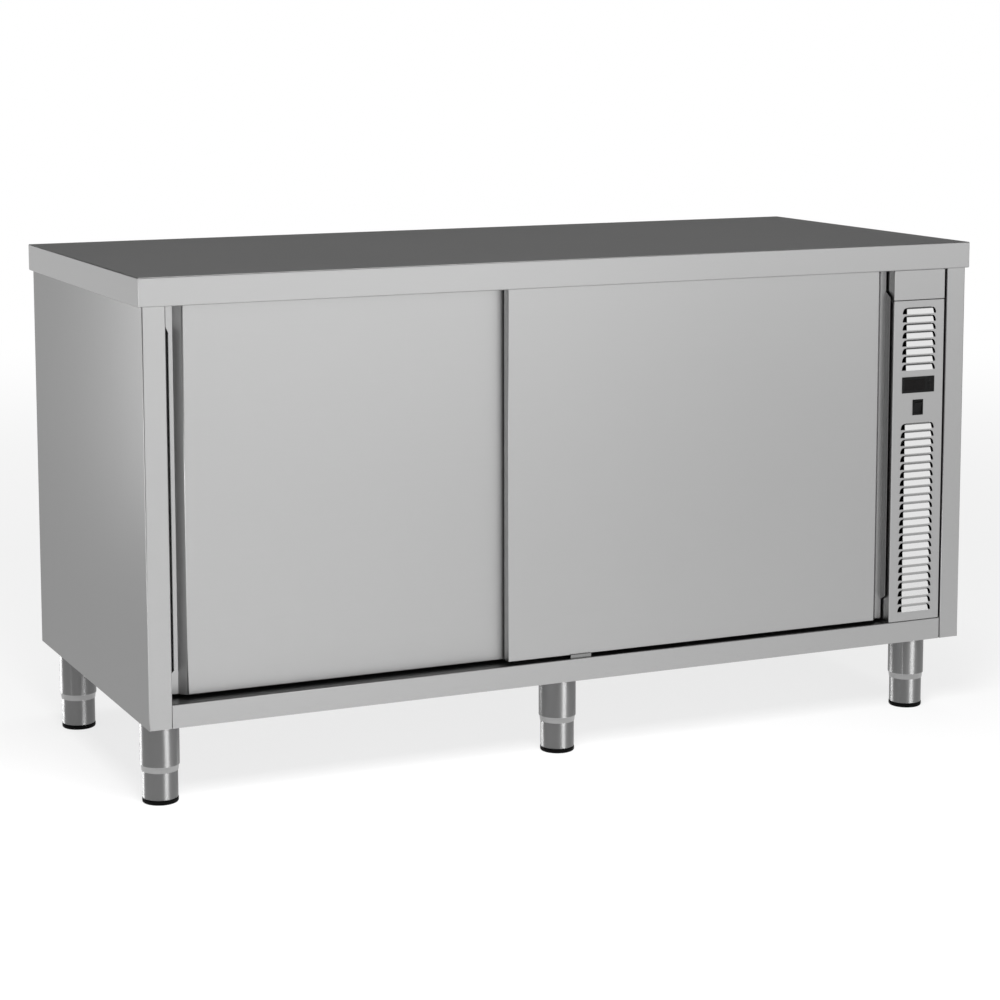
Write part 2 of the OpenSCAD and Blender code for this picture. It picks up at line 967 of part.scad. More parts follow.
// Rocker in its off position, on two stub pivots
module switch_rocker() {
    pin_reach = switch_w / 2 - switch_wall - body_gap;
    color("black")
        translate([panel_mid, pivot_y, switch_z])
            rotate([rocker_tilt, 0, 0]) {
                along_x(-rocker_w / 2, rocker_w / 2)
                    polygon([
                        [-rocker_face, -rocker_h / 2],
                        [-rocker_face + rocker_dish, 0],
                        [-rocker_face, rocker_h / 2],
                        [rocker_back / 2, rocker_h / 2],
                        [rocker_back, 0],
                        [rocker_back / 2, -rocker_h / 2]
                    ]);
                bar_x(-pin_reach, pin_reach, rocker_pin_r);
            }
}

// Motor on the partition, with the bore for its shaft and a cooling cap
module fan_motor() {
    color("dimgray")
        translate([0, fan_y, fan_z])
            difference() {
                union() {
                    bar_x(motor_x, motor_x + motor_flange_t, motor_r + motor_flange_rim);
                    bar_x(motor_x, motor_x + motor_l - motor_cap_l, motor_r);
                    bar_x(motor_x, motor_x + motor_l, motor_cap_r);
                }
                bar_x(motor_x - cut, motor_x + shaft_in_motor + shaft_end_gap, shaft_r + shaft_play);
            }
}

module fan_shaft() {
    color("silver")
        translate([0, fan_y, fan_z])
            bar_x(impeller_front - shaft_nose, motor_x + shaft_in_motor, shaft_r);
}

// Radial impeller: hub, back plate and straight blades
module fan_impeller() {
    color("gray")
        translate([0, fan_y, fan_z])
            difference() {
                union() {
                    bar_x(impeller_back - impeller_plate, impeller_back, impeller_r);
                    bar_x(impeller_front, impeller_back, hub_r);
                    for (blade = [0 : blade_count - 1])
                        rotate([360 * blade / blade_count, 0, 0])
                            block(
                                [impeller_front, -blade_t / 2, blade_inner_r],
                                [impeller_back, blade_t / 2, blade_outer_r]
                            );
                }
                bar_x(impeller_front - cut, impeller_back + cut, shaft_r + hub_play);
            }
}

// Plate between the chamber and the fan, with an intake grille and two outlets
module fan_guard() {
    slots = 9;
    slot_h = 7.6;
    grille_margin = 17;
    grille_h = 2 * (impeller_r - grille_margin);
    grille_pitch = grille_h / (slots - 1);
    outlet_w = 30;
    outlet_h = 400;
    outlet_inset = 50;
    color("gainsboro")
        difference() {
            block([chamber_x1, chamber_y0, floor_z], [guard_x, chamber_y1, ceiling_z]);
            for (row = [0 : slots - 1])
                let (rise = row * grille_pitch - grille_h / 2)
                    let (half = sqrt(pow(impeller_r, 2) - pow(rise, 2)))
                        block(
                            [chamber_x1 - cut, fan_y - half, fan_z + rise - slot_h / 2],
                            [guard_x + cut, fan_y + half, fan_z + rise + slot_h / 2]
                        );
            for (y = [chamber_y0 + outlet_inset + upright_inset, chamber_y1 - outlet_inset - upright_inset])
                block(
                    [chamber_x1 - cut, y - outlet_w / 2, fan_z - outlet_h / 2],
                    [guard_x + cut, y + outlet_w / 2, fan_z + outlet_h / 2]
                );
        }
}

// Places of the heating element's two ends, at the bottom of its ring
module at_element_ends() {
    for (side = [-1, 1])
        translate([0, fan_y, fan_z])
            rotate([side * element_gap_deg, 0, 0])
                translate([0, 0, -element_r])
                    children();
}

// Ring of tubular heater round the impeller, with its tails and mounting flange
module heating_element() {
    flange = [element_flange_t, element_ends + 2 * element_flange_rim, element_flange_h];
    color("sienna") {
        translate([element_x, fan_y, fan_z])
            rotate([90, 0, 90])
                rotate([0, 0, element_gap_deg - 90])
                    rotate_extrude(angle = 360 - 2 * element_gap_deg)
                        translate([element_r, 0])
                            circle(r = element_tube_r);
        at_element_ends()
            bar_x(element_x - cold_end_r, motor_x + flange.x + element_tail, cold_end_r);
        translate([motor_x, fan_y, fan_z - element_r * cos(element_gap_deg)])
            block([0, -flange.y / 2, -flange.z / 2], [flange.x, flange.y / 2, flange.z / 2]);
    }
}

terminal_ways = 5;
terminal_pitch = 12;
terminal_d = 28;
terminal_h = 24;
terminal_size = [terminal_ways * terminal_pitch, terminal_d, terminal_h];
terminal_inset = 90;
port_w = 6;
port_h = 7;
port = [port_w, port_h];
port_z = 12;
groove_w = 1.2;
groove_d = 4;
groove = [groove_w, groove_d];

// Mains terminal block on the floor of the control column
module terminal_block() {
    color("ivory")
        translate([panel_mid - terminal_size.x / 2, chamber_y1 - terminal_inset, floor_z])
            difference() {
                cube(terminal_size);
                for (way = [0 : terminal_ways - 1])
                    translate([(way + 0.5) * terminal_pitch - port.x / 2, -cut, port_z])
                        cube([port.x, terminal_size.y + 2 * cut, port.y]);
                for (way = [1 : terminal_ways - 1])
                    translate([way * terminal_pitch - groove.x / 2, -cut, terminal_size.z - groove.y])
                        cube([groove.x, terminal_size.y + 2 * cut, groove.y + cut]);
            }
}

// Cable gland through the floor of the control column
module cable_gland() {
    color("dimgray")
        translate([gland_at.x, gland_at.y, floor_z])
            difference() {
                union() {
                    translate([0, 0, -gland_drop])
                        cylinder(h = gland_drop + gland_rise, r = gland_r);
                    cylinder(h = nut_h, r = gland_hex_r, $fn = 6);
                    translate([0, 0, -sheet - nut_h])
                        cylinder(h = nut_h, r = gland_hex_r, $fn = 6);
                    translate([0, 0, -gland_drop])
                        cylinder(
                            h = gland_drop - sheet - nut_h - gland_cap_gap,
                            r = gland_r + gland_cap_wall
                        );
                }
                translate([0, 0, -gland_drop - cut])
                    cylinder(h = gland_drop + gland_rise + 2 * cut, r = cable_r);
            }
}

// Door frame of reference: x runs inwards from the outer edge, y back from the face
module in_left_door() {
    translate([left_edge_x, rear_face_y, door_z0])
        children();
}

module in_right_door() {
    translate([right_edge_x, front_face_y, door_z0])
        mirror([1, 0, 0])
            children();
}

// Front skin: face, folded edges, and the slanted wall, flange and lip of the grip
module door_front() {
    grip_z = door_h / 2 - grip_drop;
    grip_x = grip_flange + grip_slope;
    linear_extrude(door_h) {
        polygon([
            [grip_flange, door_t],
            [grip_x, 0],
            [grip_x + slope_skin, 0],
            [grip_flange + slope_skin, door_t]
        ]);
        translate([0, door_t - door_skin])
            square([grip_flange + slope_skin / 2, door_skin]);
        translate([grip_x, 0])
            square([door_w - grip_x, door_skin]);
        translate([door_w - door_skin, 0])
            square([door_skin, door_t - door_skin]);
    }
    for (z = [0, door_h - door_skin])
        translate([0, 0, z])
            linear_extrude(door_skin)
                polygon([
                    [grip_x, 0],
                    [door_w, 0],
                    [door_w, door_t - door_skin],
                    [back_skin_x, door_t - door_skin]
                ]);
    along_x(0, door_skin)
        polygon([
            [door_t, grip_z - grip_l / 2],
            [door_t, grip_z + grip_l / 2],
            [0, grip_z + grip_l / 2 - grip_chamfer],
            [0, grip_z - grip_l / 2 + grip_chamfer]
        ]);
}

// Back skin that closes the door
module door_back() {
    block([back_skin_x, door_t - door_skin, 0], [door_w, door_t, door_h]);
}

// Two hangers on the door's top, each with the pin of a roller
module door_hangers() {
    for (x = [hanger_inset, door_w - hanger_inset])
        translate([x, 0, 0]) {
            block(
                [-hanger_w / 2, hanger_front, door_h],
                [hanger_w / 2, hanger_back, roller_z - door_z0 + hanger_reach]
            );
            block(
                [-hanger_w / 2, hanger_front, door_h],
                [hanger_w / 2, door_t - door_skin, door_h + hanger_t]
            );
            translate([0, 0, roller_z - door_z0])
                bar_y(roller_front, hanger_back, pin_r);
        }
}

// Roller on the pin of one hanger
module door_roller(x) {
    translate([x, 0, roller_z - door_z0])
        difference() {
            bar_y(roller_front, roller_back, roller_r);
            bar_y(roller_front - cut, roller_back + cut, pin_r + pin_play);
        }
}

module left_door_front() {
    color("silver")
        in_left_door()
            door_front();
}

module left_door_back() {
    color("gainsboro")
        in_left_door()
            door_back();
}

module left_door_hangers() {
    color("gray")
        in_left_door()
            door_hangers();
}

module left_door_roller_outer() {
    color("white")
        in_left_door()
            door_roller(hanger_inset);
}

module left_door_roller_inner() {
    color("white")
        in_left_door()
            door_roller(door_w - hanger_inset);
}

module right_door_front() {
    color("silver")
        in_right_door()
            door_front();
}

module right_door_back() {
    color("gainsboro")
        in_right_door()
            door_back();
}

module right_door_hangers() {
    color("gray")
        in_right_door()
            door_hangers();
}

module right_door_roller_outer() {
    color("white")
        in_right_door()
            door_roller(hanger_inset);
}

module right_door_roller_inner() {
    color("white")
        in_right_door()
            door_roller(door_w - hanger_inset);
}

// Upper leg tubes, each with its top plate, tapered neck and threaded disc
module leg_sleeves() {
    neck_bore = foot_r + foot_play;
    inner_r = leg_r - leg_wall;
    color("silver")
        for (x = leg_xs, y = leg_ys)
            translate([x, y, 0]) {
                rotate_extrude()
                    polygon([
                        [neck_bore, leg_low],
                        [neck_bore + neck_edge, leg_low],
                        [leg_r, leg_low + neck_h],
                        [leg_r, leg_h],
                        [inner_r, leg_h],
                        [inner_r, stud_nut_z + stud_nut_h],
                        [stud_r + pin_play, stud_nut_z + stud_nut_h],
                        [stud_r + pin_play, stud_nut_z],
                        [inner_r, stud_nut_z],
                        [inner_r, leg_low + neck_h],
                        [neck_bore, leg_low + neck_h - neck_step]
                    ]);
                difference() {
                    block(
                        [-leg_plate_w / 2, -leg_plate_l / 2, leg_h],
                        [leg_plate_w / 2, leg_plate_l / 2, base_rail_z]
                    );
                    for (side = [-1, 1])
                        translate([0, side * leg_bolt_reach, leg_h - cut])
                            cylinder(h = leg_plate_t + 2 * cut, r = bolt_r + bolt_play);
                }
            }
}

// Bolts and nuts that hold the legs to the rails
module leg_bolts() {
    head_r = bolt_r + bolt_head_rim;
    color("gray")
        for (x = leg_xs, y = leg_ys, side = [-1, 1])
            translate([x, y + side * leg_bolt_reach, 0]) {
                translate([0, 0, leg_h - bolt_head_h])
                    cylinder(h = bolt_head_h, r = head_r, $fn = 6);
                translate([0, 0, leg_h])
                    cylinder(h = leg_plate_t + base_rail_t + nut_h + bolt_tail, r = bolt_r);
                translate([0, 0, base_rail_z + base_rail_t])
                    cylinder(h = nut_h, r = head_r, $fn = 6);
            }
}

// Adjustable foot: a closed tube on a threaded stud
module foot(column, row) {
    color("silver")
        translate([leg_xs[column], leg_ys[row], 0])
            rotate_extrude()
                polygon([
                    [0, pad_h],
                    [foot_r, pad_h],
                    [foot_r, foot_top],
                    [foot_r - leg_wall, foot_top],
                    [foot_r - leg_wall, pad_h + foot_floor],
                    [stud_r, pad_h + foot_floor],
                    [stud_r, stud_top],
                    [0, stud_top]
                ]);
}

// Black pad under a foot
module pad(column, row) {
    color("black")
        translate([leg_xs[column], leg_ys[row], 0])
            rotate_extrude()
                polygon([
                    [0, 0],
                    [foot_r - pad_chamfer, 0],
                    [foot_r + pad_rim, pad_chamfer + pad_rim],
                    [foot_r + pad_rim, pad_h],
                    [0, pad_h]
                ]);
}

worktop();
worktop_core();
left_side_panel();
right_side_panel();
back_panel();
base_panel();
base_rails();
left_liner();
back_liner();
ceiling_liner();
partition();
left_insulation();
back_insulation();
top_insulation();
door_track();
door_guide();
shelf();
shelf_uprights();
shelf_clips();
fascia_strip();
control_panel();
controller_case();
controller_window();
key_set();
key_up();
key_down();
switch_housing();
switch_rocker();
fan_motor();
fan_shaft();
fan_impeller();
fan_guard();
heating_element();
terminal_block();
cable_gland();
left_door_front();
left_door_back();
left_door_hangers();
left_door_roller_outer();
left_door_roller_inner();
right_door_front();
right_door_back();
right_door_hangers();
right_door_roller_outer();
right_door_roller_inner();
leg_sleeves();
leg_bolts();
back_screws();
foot(0, 0);  // foot_front_left
foot(1, 0);  // foot_front_middle
foot(2, 0);  // foot_front_right
foot(0, 1);  // foot_back_left
foot(1, 1);  // foot_back_middle
foot(2, 1);  // foot_back_right
pad(0, 0);  // pad_front_left
pad(1, 0);  // pad_front_middle
pad(2, 0);  // pad_front_right
pad(0, 1);  // pad_back_left
pad(1, 1);  // pad_back_middle
pad(2, 1);  // pad_back_right
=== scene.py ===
"""Dresses the hot cupboard's frame: folded brushed steel, pressed louvres, turned legs and black controls.

Lengths are metres in the frame's own axes: +Z up, the front at -Y, the floor at Z 0.
"""
import json
import math

import bmesh
import bpy
from mathutils import Matrix, Vector

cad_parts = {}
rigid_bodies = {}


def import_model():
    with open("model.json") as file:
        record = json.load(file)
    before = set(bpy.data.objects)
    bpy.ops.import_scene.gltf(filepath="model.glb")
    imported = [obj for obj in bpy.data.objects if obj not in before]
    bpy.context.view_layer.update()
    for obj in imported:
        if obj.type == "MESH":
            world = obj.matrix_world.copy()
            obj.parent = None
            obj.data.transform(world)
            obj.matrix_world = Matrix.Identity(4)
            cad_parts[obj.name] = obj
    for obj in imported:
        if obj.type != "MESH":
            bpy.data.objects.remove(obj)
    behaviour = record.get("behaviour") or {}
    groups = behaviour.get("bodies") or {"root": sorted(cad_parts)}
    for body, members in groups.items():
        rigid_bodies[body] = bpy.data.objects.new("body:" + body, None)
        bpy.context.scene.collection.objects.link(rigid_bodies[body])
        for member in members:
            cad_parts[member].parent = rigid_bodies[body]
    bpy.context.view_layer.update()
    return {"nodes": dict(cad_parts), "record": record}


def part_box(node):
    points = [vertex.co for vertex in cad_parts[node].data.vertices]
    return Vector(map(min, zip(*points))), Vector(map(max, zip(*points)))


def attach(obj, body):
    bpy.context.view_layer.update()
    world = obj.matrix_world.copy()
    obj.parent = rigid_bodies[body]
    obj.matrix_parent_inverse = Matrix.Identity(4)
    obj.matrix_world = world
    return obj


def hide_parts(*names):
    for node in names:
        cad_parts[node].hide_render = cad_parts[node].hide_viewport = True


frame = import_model()

MM = 0.001
TINY = 1e-5

# Axes
ACROSS = (1.0, 0.0, 0.0)
INWARD = (0.0, 1.0, 0.0)
UP = (0.0, 0.0, 1.0)

# Sheet metal
SHEET = 1.2 * MM
BEND = 1.6 * MM
BEND_STEPS = 4
EASE = 0.3 * MM
EASE_STEPS = 2
EDGE_STEPS = 3
RIM_BEND = 2.0 * MM
RIM_STEPS = 5
HEM = 10.2 * MM
HEM_BEND = 1.2 * MM
JAMB = 20.0 * MM
BACK_RETURN = 20.0 * MM
SEAM = 2.5 * MM
SEAM_DEPTH = 3.2 * MM
SEAM_OVERLAP = 9.0 * MM
SHELF_BEND = 3.0 * MM
FASCIA_BEND = 1.2 * MM

# Back screws
SCREW_RADIUS = 5.0 * MM
SCREW_ROWS = 5
SCREW_STEPS = 24
DOME_STEPS = 5

# Doors and their floor guide
SKIN = 1.0 * MM
FACE_BEND = 1.4 * MM
FLANGE = 11.0 * MM
SLOPE = 13.5 * MM
LIP_LENGTH = 580.0 * MM
LIP_DROP = 5.0 * MM
LIP_CHAMFER = 9.0 * MM
GUIDE_SHEET = 2.0 * MM
GUIDE_PLAY = 0.8 * MM
GUIDE_OVERLAP = 1.0 * MM
GUIDE_EASE = 0.4 * MM

# Louvres
HOOD_WIDTH = 73.0 * MM
HOOD_HEIGHT = 12.3 * MM
HOOD_DEPTH = 3.8 * MM
HOOD_SHOULDER = 3.0 * MM
HOOD_SHOULDER_DEPTH = 1.3 * MM
HOOD_TAPERS = (4.0 * MM, 1.2 * MM, 0.0)
HOOD_SHEET = 0.8 * MM
HOOD_PITCH = 15.0 * MM
HOOD_END = 7.0 * MM
SLOT_HEIGHT = 11.3 * MM
SLOT_SEAT = 0.3 * MM
SLOT_STEPS = 5
UPPER_HOODS = 8
LOWER_HOODS = 24
UPPER_DROP = 13.2 * MM
LOWER_RISE = 18.2 * MM
OPENING_RIM = 2.0 * MM

# Controller
KEYS = ("key_set", "key_up", "key_down")
KEY_PLAY = 0.15 * MM
KEY_WELL = 3.2 * MM
KEY_BEND = 0.5 * MM
CASE_STEP = 3.0 * MM
BEZEL_BEND = 0.7 * MM

# Switch, with its tilt in degrees and the brow's least angle in radians
FRAME_BEND = 0.8 * MM
FRAME_STEP = 2.0 * MM
ROCKER_WALL = 3.0 * MM
ROCKER_DEPTH = 8.0 * MM
ROCKER_SIDE_PLAY = 0.3 * MM
ROCKER_END_PLAY = 1.7 * MM
ROCKER_REACH = 5.5 * MM
ROCKER_DISH = 1.0 * MM
ROCKER_TAIL = 3.5 * MM
ROCKER_STEPS = 8
ROCKER_TILT = 8.0
BROW_BEND = 0.5 * MM
BROW_ANGLE = 0.7
PIVOT_DEPTH = 4.0 * MM

# Legs
TURN_STEPS = 64
LEG_RADIUS = 33.3 * MM
LEG_WALL = 1.5 * MM
LEG_PLATE = 3.0 * MM
PLATE_WIDTH = 70.0 * MM
PLATE_LENGTH = 110.0 * MM
NECK = 10.0 * MM
NECK_BEND = 4.0 * MM
NECK_LIP = 0.4 * MM
NECK_RISE = 1.0 * MM
NECK_TAPER = 2.0 * MM
# How far the painted highlight band reaches above the neck.
NECK_PAINTED_HIGHLIGHT = 2.0 * MM
FOOT_RADIUS = 30.1 * MM
FOOT_PLAY = 0.1 * MM
FOOT_BEND = 1.6 * MM
FOOT_SOLE = 4.0 * MM
FOOT_TRAVEL = 30.0 * MM
FOOT_HOLD = 3.0 * MM
STUD_RADIUS = 8.0 * MM
PAD_FOOT_BEND = 3.0 * MM
PAD_TOP_BEND = 0.6 * MM

# Grain, as noise cells per metre along each axis
LENGTHWISE = (6.0, 900.0, 900.0)
UPRIGHT = (900.0, 900.0, 6.0)
ROUND = (260.0, 260.0, 2400.0)
EVEN = (500.0, 500.0, 500.0)
COARSE = (90.0, 90.0, 90.0)
FIBRES = (30.0, 30.0, 400.0)
RELIEF = 0.1 * MM

# Floor
FLOOR_RADIUS = 60.0
FLOOR_STEPS = 96

WHITE = (1.0, 1.0, 1.0, 1.0)
FINISHES = {}


# Materials

def grey(level):
    """A neutral colour of one level."""
    return (level, level, level, 1.0)


def arithmetic(nodes, operation):
    """A math node of one operation."""
    node = nodes.new("ShaderNodeMath")
    node.operation = operation
    return node


def noise(nodes, scale, detail):
    """A noise texture of one scale and detail."""
    node = nodes.new("ShaderNodeTexNoise")
    node.inputs["Scale"].default_value = scale
    node.inputs["Detail"].default_value = detail
    return node


def ramp(nodes, start, stop, first, last):
    """A smooth change from a first value to a last one while the input goes from start to stop."""
    node = nodes.new("ShaderNodeMapRange")
    node.interpolation_type = "SMOOTHSTEP"
    node.inputs["From Min"].default_value = start
    node.inputs["From Max"].default_value = stop
    node.inputs["To Min"].default_value = first
    node.inputs["To Max"].default_value = last
    return node


def new_group(name, inputs, outputs):
    """Starts a shader node group with the given sockets and returns its tree and its two end nodes."""
    tree = bpy.data.node_groups.new(name, "ShaderNodeTree")
    for label, kind, value in inputs:
        socket = tree.interface.new_socket(label, in_out="INPUT", socket_type=kind)
        socket.default_value = value
    for label, kind in outputs:
        tree.interface.new_socket(label, in_out="OUTPUT", socket_type=kind)
    return tree, tree.nodes.new("NodeGroupInput"), tree.nodes.new("NodeGroupOutput")


def brushed_group():
    """Fine stretched grain with a slow cloud over it, as a tinted colour, a roughness and a height."""
    tree, given, result = new_group(
        "brushed_grain",
        [("Colour", "NodeSocketColor", grey(0.5)), ("Stretch", "NodeSocketVector", (1.0, 1.0, 1.0)),
         ("Contrast", "NodeSocketFloat", 0.05), ("Roughness", "NodeSocketFloat", 0.4),
         ("Spread", "NodeSocketFloat", 0.05)],
        [("Colour", "NodeSocketColor"), ("Roughness", "NodeSocketFloat"), ("Height", "NodeSocketFloat")])
    nodes, links = tree.nodes, tree.links
    place = nodes.new("ShaderNodeTexCoord")
    stretch = nodes.new("ShaderNodeMapping")
    grain = noise(nodes, scale=1.0, detail=3.0)
    cloud = noise(nodes, scale=4.0, detail=2.0)
    blend = nodes.new("ShaderNodeMix")
    blend.inputs["Factor"].default_value = 0.4
    centred = arithmetic(nodes, "SUBTRACT")
    centred.inputs[1].default_value = 0.5
    tone = arithmetic(nodes, "MULTIPLY_ADD")
    tone.inputs[2].default_value = 1.0
    tint = nodes.new("ShaderNodeVectorMath")
    tint.operation = "SCALE"
    rough = arithmetic(nodes, "MULTIPLY_ADD")
    links.new(place.outputs["Object"], stretch.inputs["Vector"])
    links.new(given.outputs["Stretch"], stretch.inputs["Scale"])
    links.new(stretch.outputs["Vector"], grain.inputs["Vector"])
    links.new(place.outputs["Object"], cloud.inputs["Vector"])
    links.new(grain.outputs["Fac"], blend.inputs["A"])
    links.new(cloud.outputs["Fac"], blend.inputs["B"])
    links.new(blend.outputs["Result"], centred.inputs[0])
    links.new(centred.outputs["Value"], tone.inputs[0])
    links.new(given.outputs["Contrast"], tone.inputs[1])
    links.new(given.outputs["Colour"], tint.inputs[0])
    links.new(tone.outputs["Value"], tint.inputs["Scale"])
    links.new(centred.outputs["Value"], rough.inputs[0])
    links.new(given.outputs["Spread"], rough.inputs[1])
    links.new(given.outputs["Roughness"], rough.inputs[2])
    links.new(tint.outputs["Vector"], result.inputs["Colour"])
    links.new(rough.outputs["Value"], result.inputs["Roughness"])
    links.new(grain.outputs["Fac"], result.inputs["Height"])
    return tree


BRUSHED = brushed_group()


def surface(name, colour, roughness, metallic=1.0, stretch=LENGTHWISE, contrast=0.05, spread=0.06, bump=0.02,
            twist=0.0, turn=0.0, gloss=0.5):
    """Adds a procedural finish: the grain group drives colour, roughness and a shallow bump."""
    material = bpy.data.materials.new(name)
    material.use_nodes = True
    nodes, links = material.node_tree.nodes, material.node_tree.links
    shader = nodes["Principled BSDF"]
    shader.inputs["Metallic"].default_value = metallic
    shader.inputs["Specular IOR Level"].default_value = gloss
    shader.inputs["Anisotropic"].default_value = twist
    shader.inputs["Anisotropic Rotation"].default_value = turn
    grain = nodes.new("ShaderNodeGroup")
    grain.node_tree = BRUSHED
    grain.inputs["Colour"].default_value = colour
    grain.inputs["Stretch"].default_value = stretch
    grain.inputs["Contrast"].default_value = contrast
    grain.inputs["Roughness"].default_value = roughness
    grain.inputs["Spread"].default_value = spread
    relief = nodes.new("ShaderNodeBump")
    relief.inputs["Strength"].default_value = bump
    relief.inputs["Distance"].default_value = RELIEF
    links.new(grain.outputs["Colour"], shader.inputs["Base Color"])
    links.new(grain.outputs["Roughness"], shader.inputs["Roughness"])
    links.new(grain.outputs["Height"], relief.inputs["Height"])
    links.new(relief.outputs["Normal"], shader.inputs["Normal"])
    FINISHES[name] = material


surface("outer_steel", grey(0.40), roughness=0.38)
# Darker copy of the outer steel: painted shade on the worktop's top and the chamber floor's upper face.
surface("worktop_steel", grey(0.22), roughness=0.34, contrast=0.06)
# Darker copy of the outer steel for the sides' outer faces: painted shade.
surface("side_painted_shade_steel", grey(0.215), roughness=0.38, stretch=UPRIGHT)
# Lighter, glossier copy of the outer steel for the louvre faces: painted highlight.
surface("hood_painted_highlight_steel", grey(0.47), roughness=0.16, spread=0.05)
# Darker, glossier copy of the outer steel: painted shade on louvre shoulders, door lips and the floor guide.
surface("fold_painted_shade_steel", grey(0.23), roughness=0.20, stretch=UPRIGHT, spread=0.05)
# Darker copy of the steel for leg tubes and feet: painted shade.
surface("leg_steel", grey(0.23), roughness=0.45, stretch=ROUND, twist=0.95, turn=0.25)
# Lighter copy of the leg steel for the necks: painted highlight band.
surface("neck_painted_highlight_steel", grey(0.33), roughness=0.30, stretch=ROUND)
surface("inner_steel", grey(0.56), roughness=0.36, contrast=0.08, spread=0.10, bump=0.04)
surface("zinc_steel", (0.55, 0.56, 0.58, 1.0), roughness=0.42, stretch=COARSE, contrast=0.30, spread=0.15,
        bump=0.05)
surface("board", (0.42, 0.31, 0.20, 1.0), roughness=0.85, metallic=0.0, stretch=FIBRES, contrast=0.60,
        spread=0.10, bump=0.30)
surface("insulation", (0.58, 0.54, 0.40, 1.0), roughness=0.95, metallic=0.0, stretch=COARSE, contrast=0.70,
        spread=0.10, bump=0.60)
surface("black_plastic", grey(0.010), roughness=0.45, metallic=0.0, stretch=EVEN, contrast=0.20, spread=0.10,
        bump=0.05, gloss=0.10)
surface("key_plastic", grey(0.014), roughness=0.55, metallic=0.0, stretch=EVEN, contrast=0.20, spread=0.10,
        bump=0.05, gloss=0.10)
surface("display_window", (0.006, 0.005, 0.005, 1.0), roughness=0.16, metallic=0.0, stretch=EVEN,
        contrast=0.10, spread=0.02, bump=0.0, gloss=0.12)
surface("roller_nylon", grey(0.78), roughness=0.50, metallic=0.0, stretch=COARSE, contrast=0.10, spread=0.10,
        bump=0.05)
surface("motor_metal", grey(0.12), roughness=0.50, metallic=0.6, stretch=COARSE, contrast=0.20, spread=0.10,
        bump=0.08)
surface("impeller_metal", grey(0.62), roughness=0.35, stretch=EVEN, contrast=0.12, spread=0.10, bump=0.04)
surface("heater_steel", (0.16, 0.13, 0.12, 1.0), roughness=0.48, metallic=0.9, stretch=COARSE, contrast=0.35,
        spread=0.15, bump=0.05)
surface("terminal_plastic", (0.70, 0.66, 0.55, 1.0), roughness=0.50, metallic=0.0, stretch=EVEN,
        contrast=0.10, spread=0.10, bump=0.04)
surface("foot_rubber", grey(0.004), roughness=0.60, metallic=0.0, stretch=EVEN, contrast=0.30, spread=0.10,
        bump=0.10, gloss=0.05)


# Building blocks

def near(value, target):
    """Whether two lengths agree."""
    return abs(value - target) < TINY


def within(spot, left, right, foot, top):
    """Whether a point lies inside an upright rectangle, seen from the front."""
    return left < spot.x < right and foot < spot.z < top


def edges_where(bm, keep):
    """The edges both of whose ends pass a test of the point."""
    return [edge for edge in bm.edges if all(keep(vert.co) for vert in edge.verts)]


def faces_where(bm, keep):
    """The faces whose middle passes a test of the point."""
    return [face for face in bm.faces if keep(face.calc_center_median())]


def dress(bm, look, keep):
    """Gives the faces whose middle passes a test one of the piece's looks, by its place in their list."""
    for face in faces_where(bm, keep):
        face.material_index = look


def face_front(bm):
    """Turns every face outward."""
    bmesh.ops.recalc_face_normals(bm, faces=bm.faces[:])


def cuboid(bm, low, high):
    """Adds a box between two corners."""
    low, high = Vector(low), Vector(high)
    made = bmesh.ops.create_cube(bm, size=1.0)["verts"]
    bmesh.ops.scale(bm, vec=high - low, verts=made)
    bmesh.ops.translate(bm, vec=(low + high) / 2, verts=made)


def shift_new(bm, made, way):
    """Moves the vertices that an extrusion made."""
    moved = [item for item in made["geom"] if isinstance(item, bmesh.types.BMVert)]
    bmesh.ops.translate(bm, vec=way, verts=moved)


def prism(bm, outline, rise):
    """Raises a flat outline of corner points along a vector."""
    corners = [bm.verts.new(point) for point in outline]
    shift_new(bm, bmesh.ops.extrude_face_region(bm, geom=[bm.faces.new(corners)]), rise)


def push(bm, faces, way):
    """Pushes a patch of faces along a vector and leaves walls behind them."""
    made = bmesh.ops.extrude_face_region(bm, geom=faces)
    bmesh.ops.delete(bm, geom=faces, context="FACES")
    shift_new(bm, made, way)


def roll(bm, edges, radius, steps=BEND_STEPS):
    """Rolls edges over to a radius and shades the roll smooth."""
    made = bmesh.ops.bevel(bm, geom=edges, offset=radius, offset_type="OFFSET", segments=steps, profile=0.5,
                           affect="EDGES", material=-1, clamp_overlap=True)
    for face in made["faces"]:
        face.smooth = True


def roll_folds(bm, bend):
    """Rolls every edge where two faces of a sheet meet."""
    roll(bm, [edge for edge in bm.edges if len(edge.link_faces) == 2], bend)


def folded(outline, rise, bend=BEND):
    """A sheet folded along an outline and run along a vector, still without thickness."""
    bm = bmesh.new()
    line = [bm.verts.new(point) for point in outline]
    strip = [bm.edges.new(pair) for pair in zip(line, line[1:])]
    shift_new(bm, bmesh.ops.extrude_edge_only(bm, edges=strip), rise)
    roll_folds(bm, bend)
    return bm


def tray(low, high, bend=BEND):
    """A folded tray that is open at the back, still without thickness."""
    bm = bmesh.new()
    cuboid(bm, low, high)
    bmesh.ops.delete(bm, geom=faces_where(bm, lambda spot: near(spot.y, high[1])), context="FACES")
    roll_folds(bm, bend)
    return bm


def hollowed(low, high, rim, roof):
    """A box that is open below, with a rim of one width round its foot and a roof of one thickness."""
    bm = bmesh.new()
    cuboid(bm, low, high)
    under = faces_where(bm, lambda spot: near(spot.z, low.z))
    bmesh.ops.inset_region(bm, faces=under, thickness=rim, use_even_offset=True)
    push(bm, under, (0.0, 0.0, high.z - low.z - roof))
    return bm


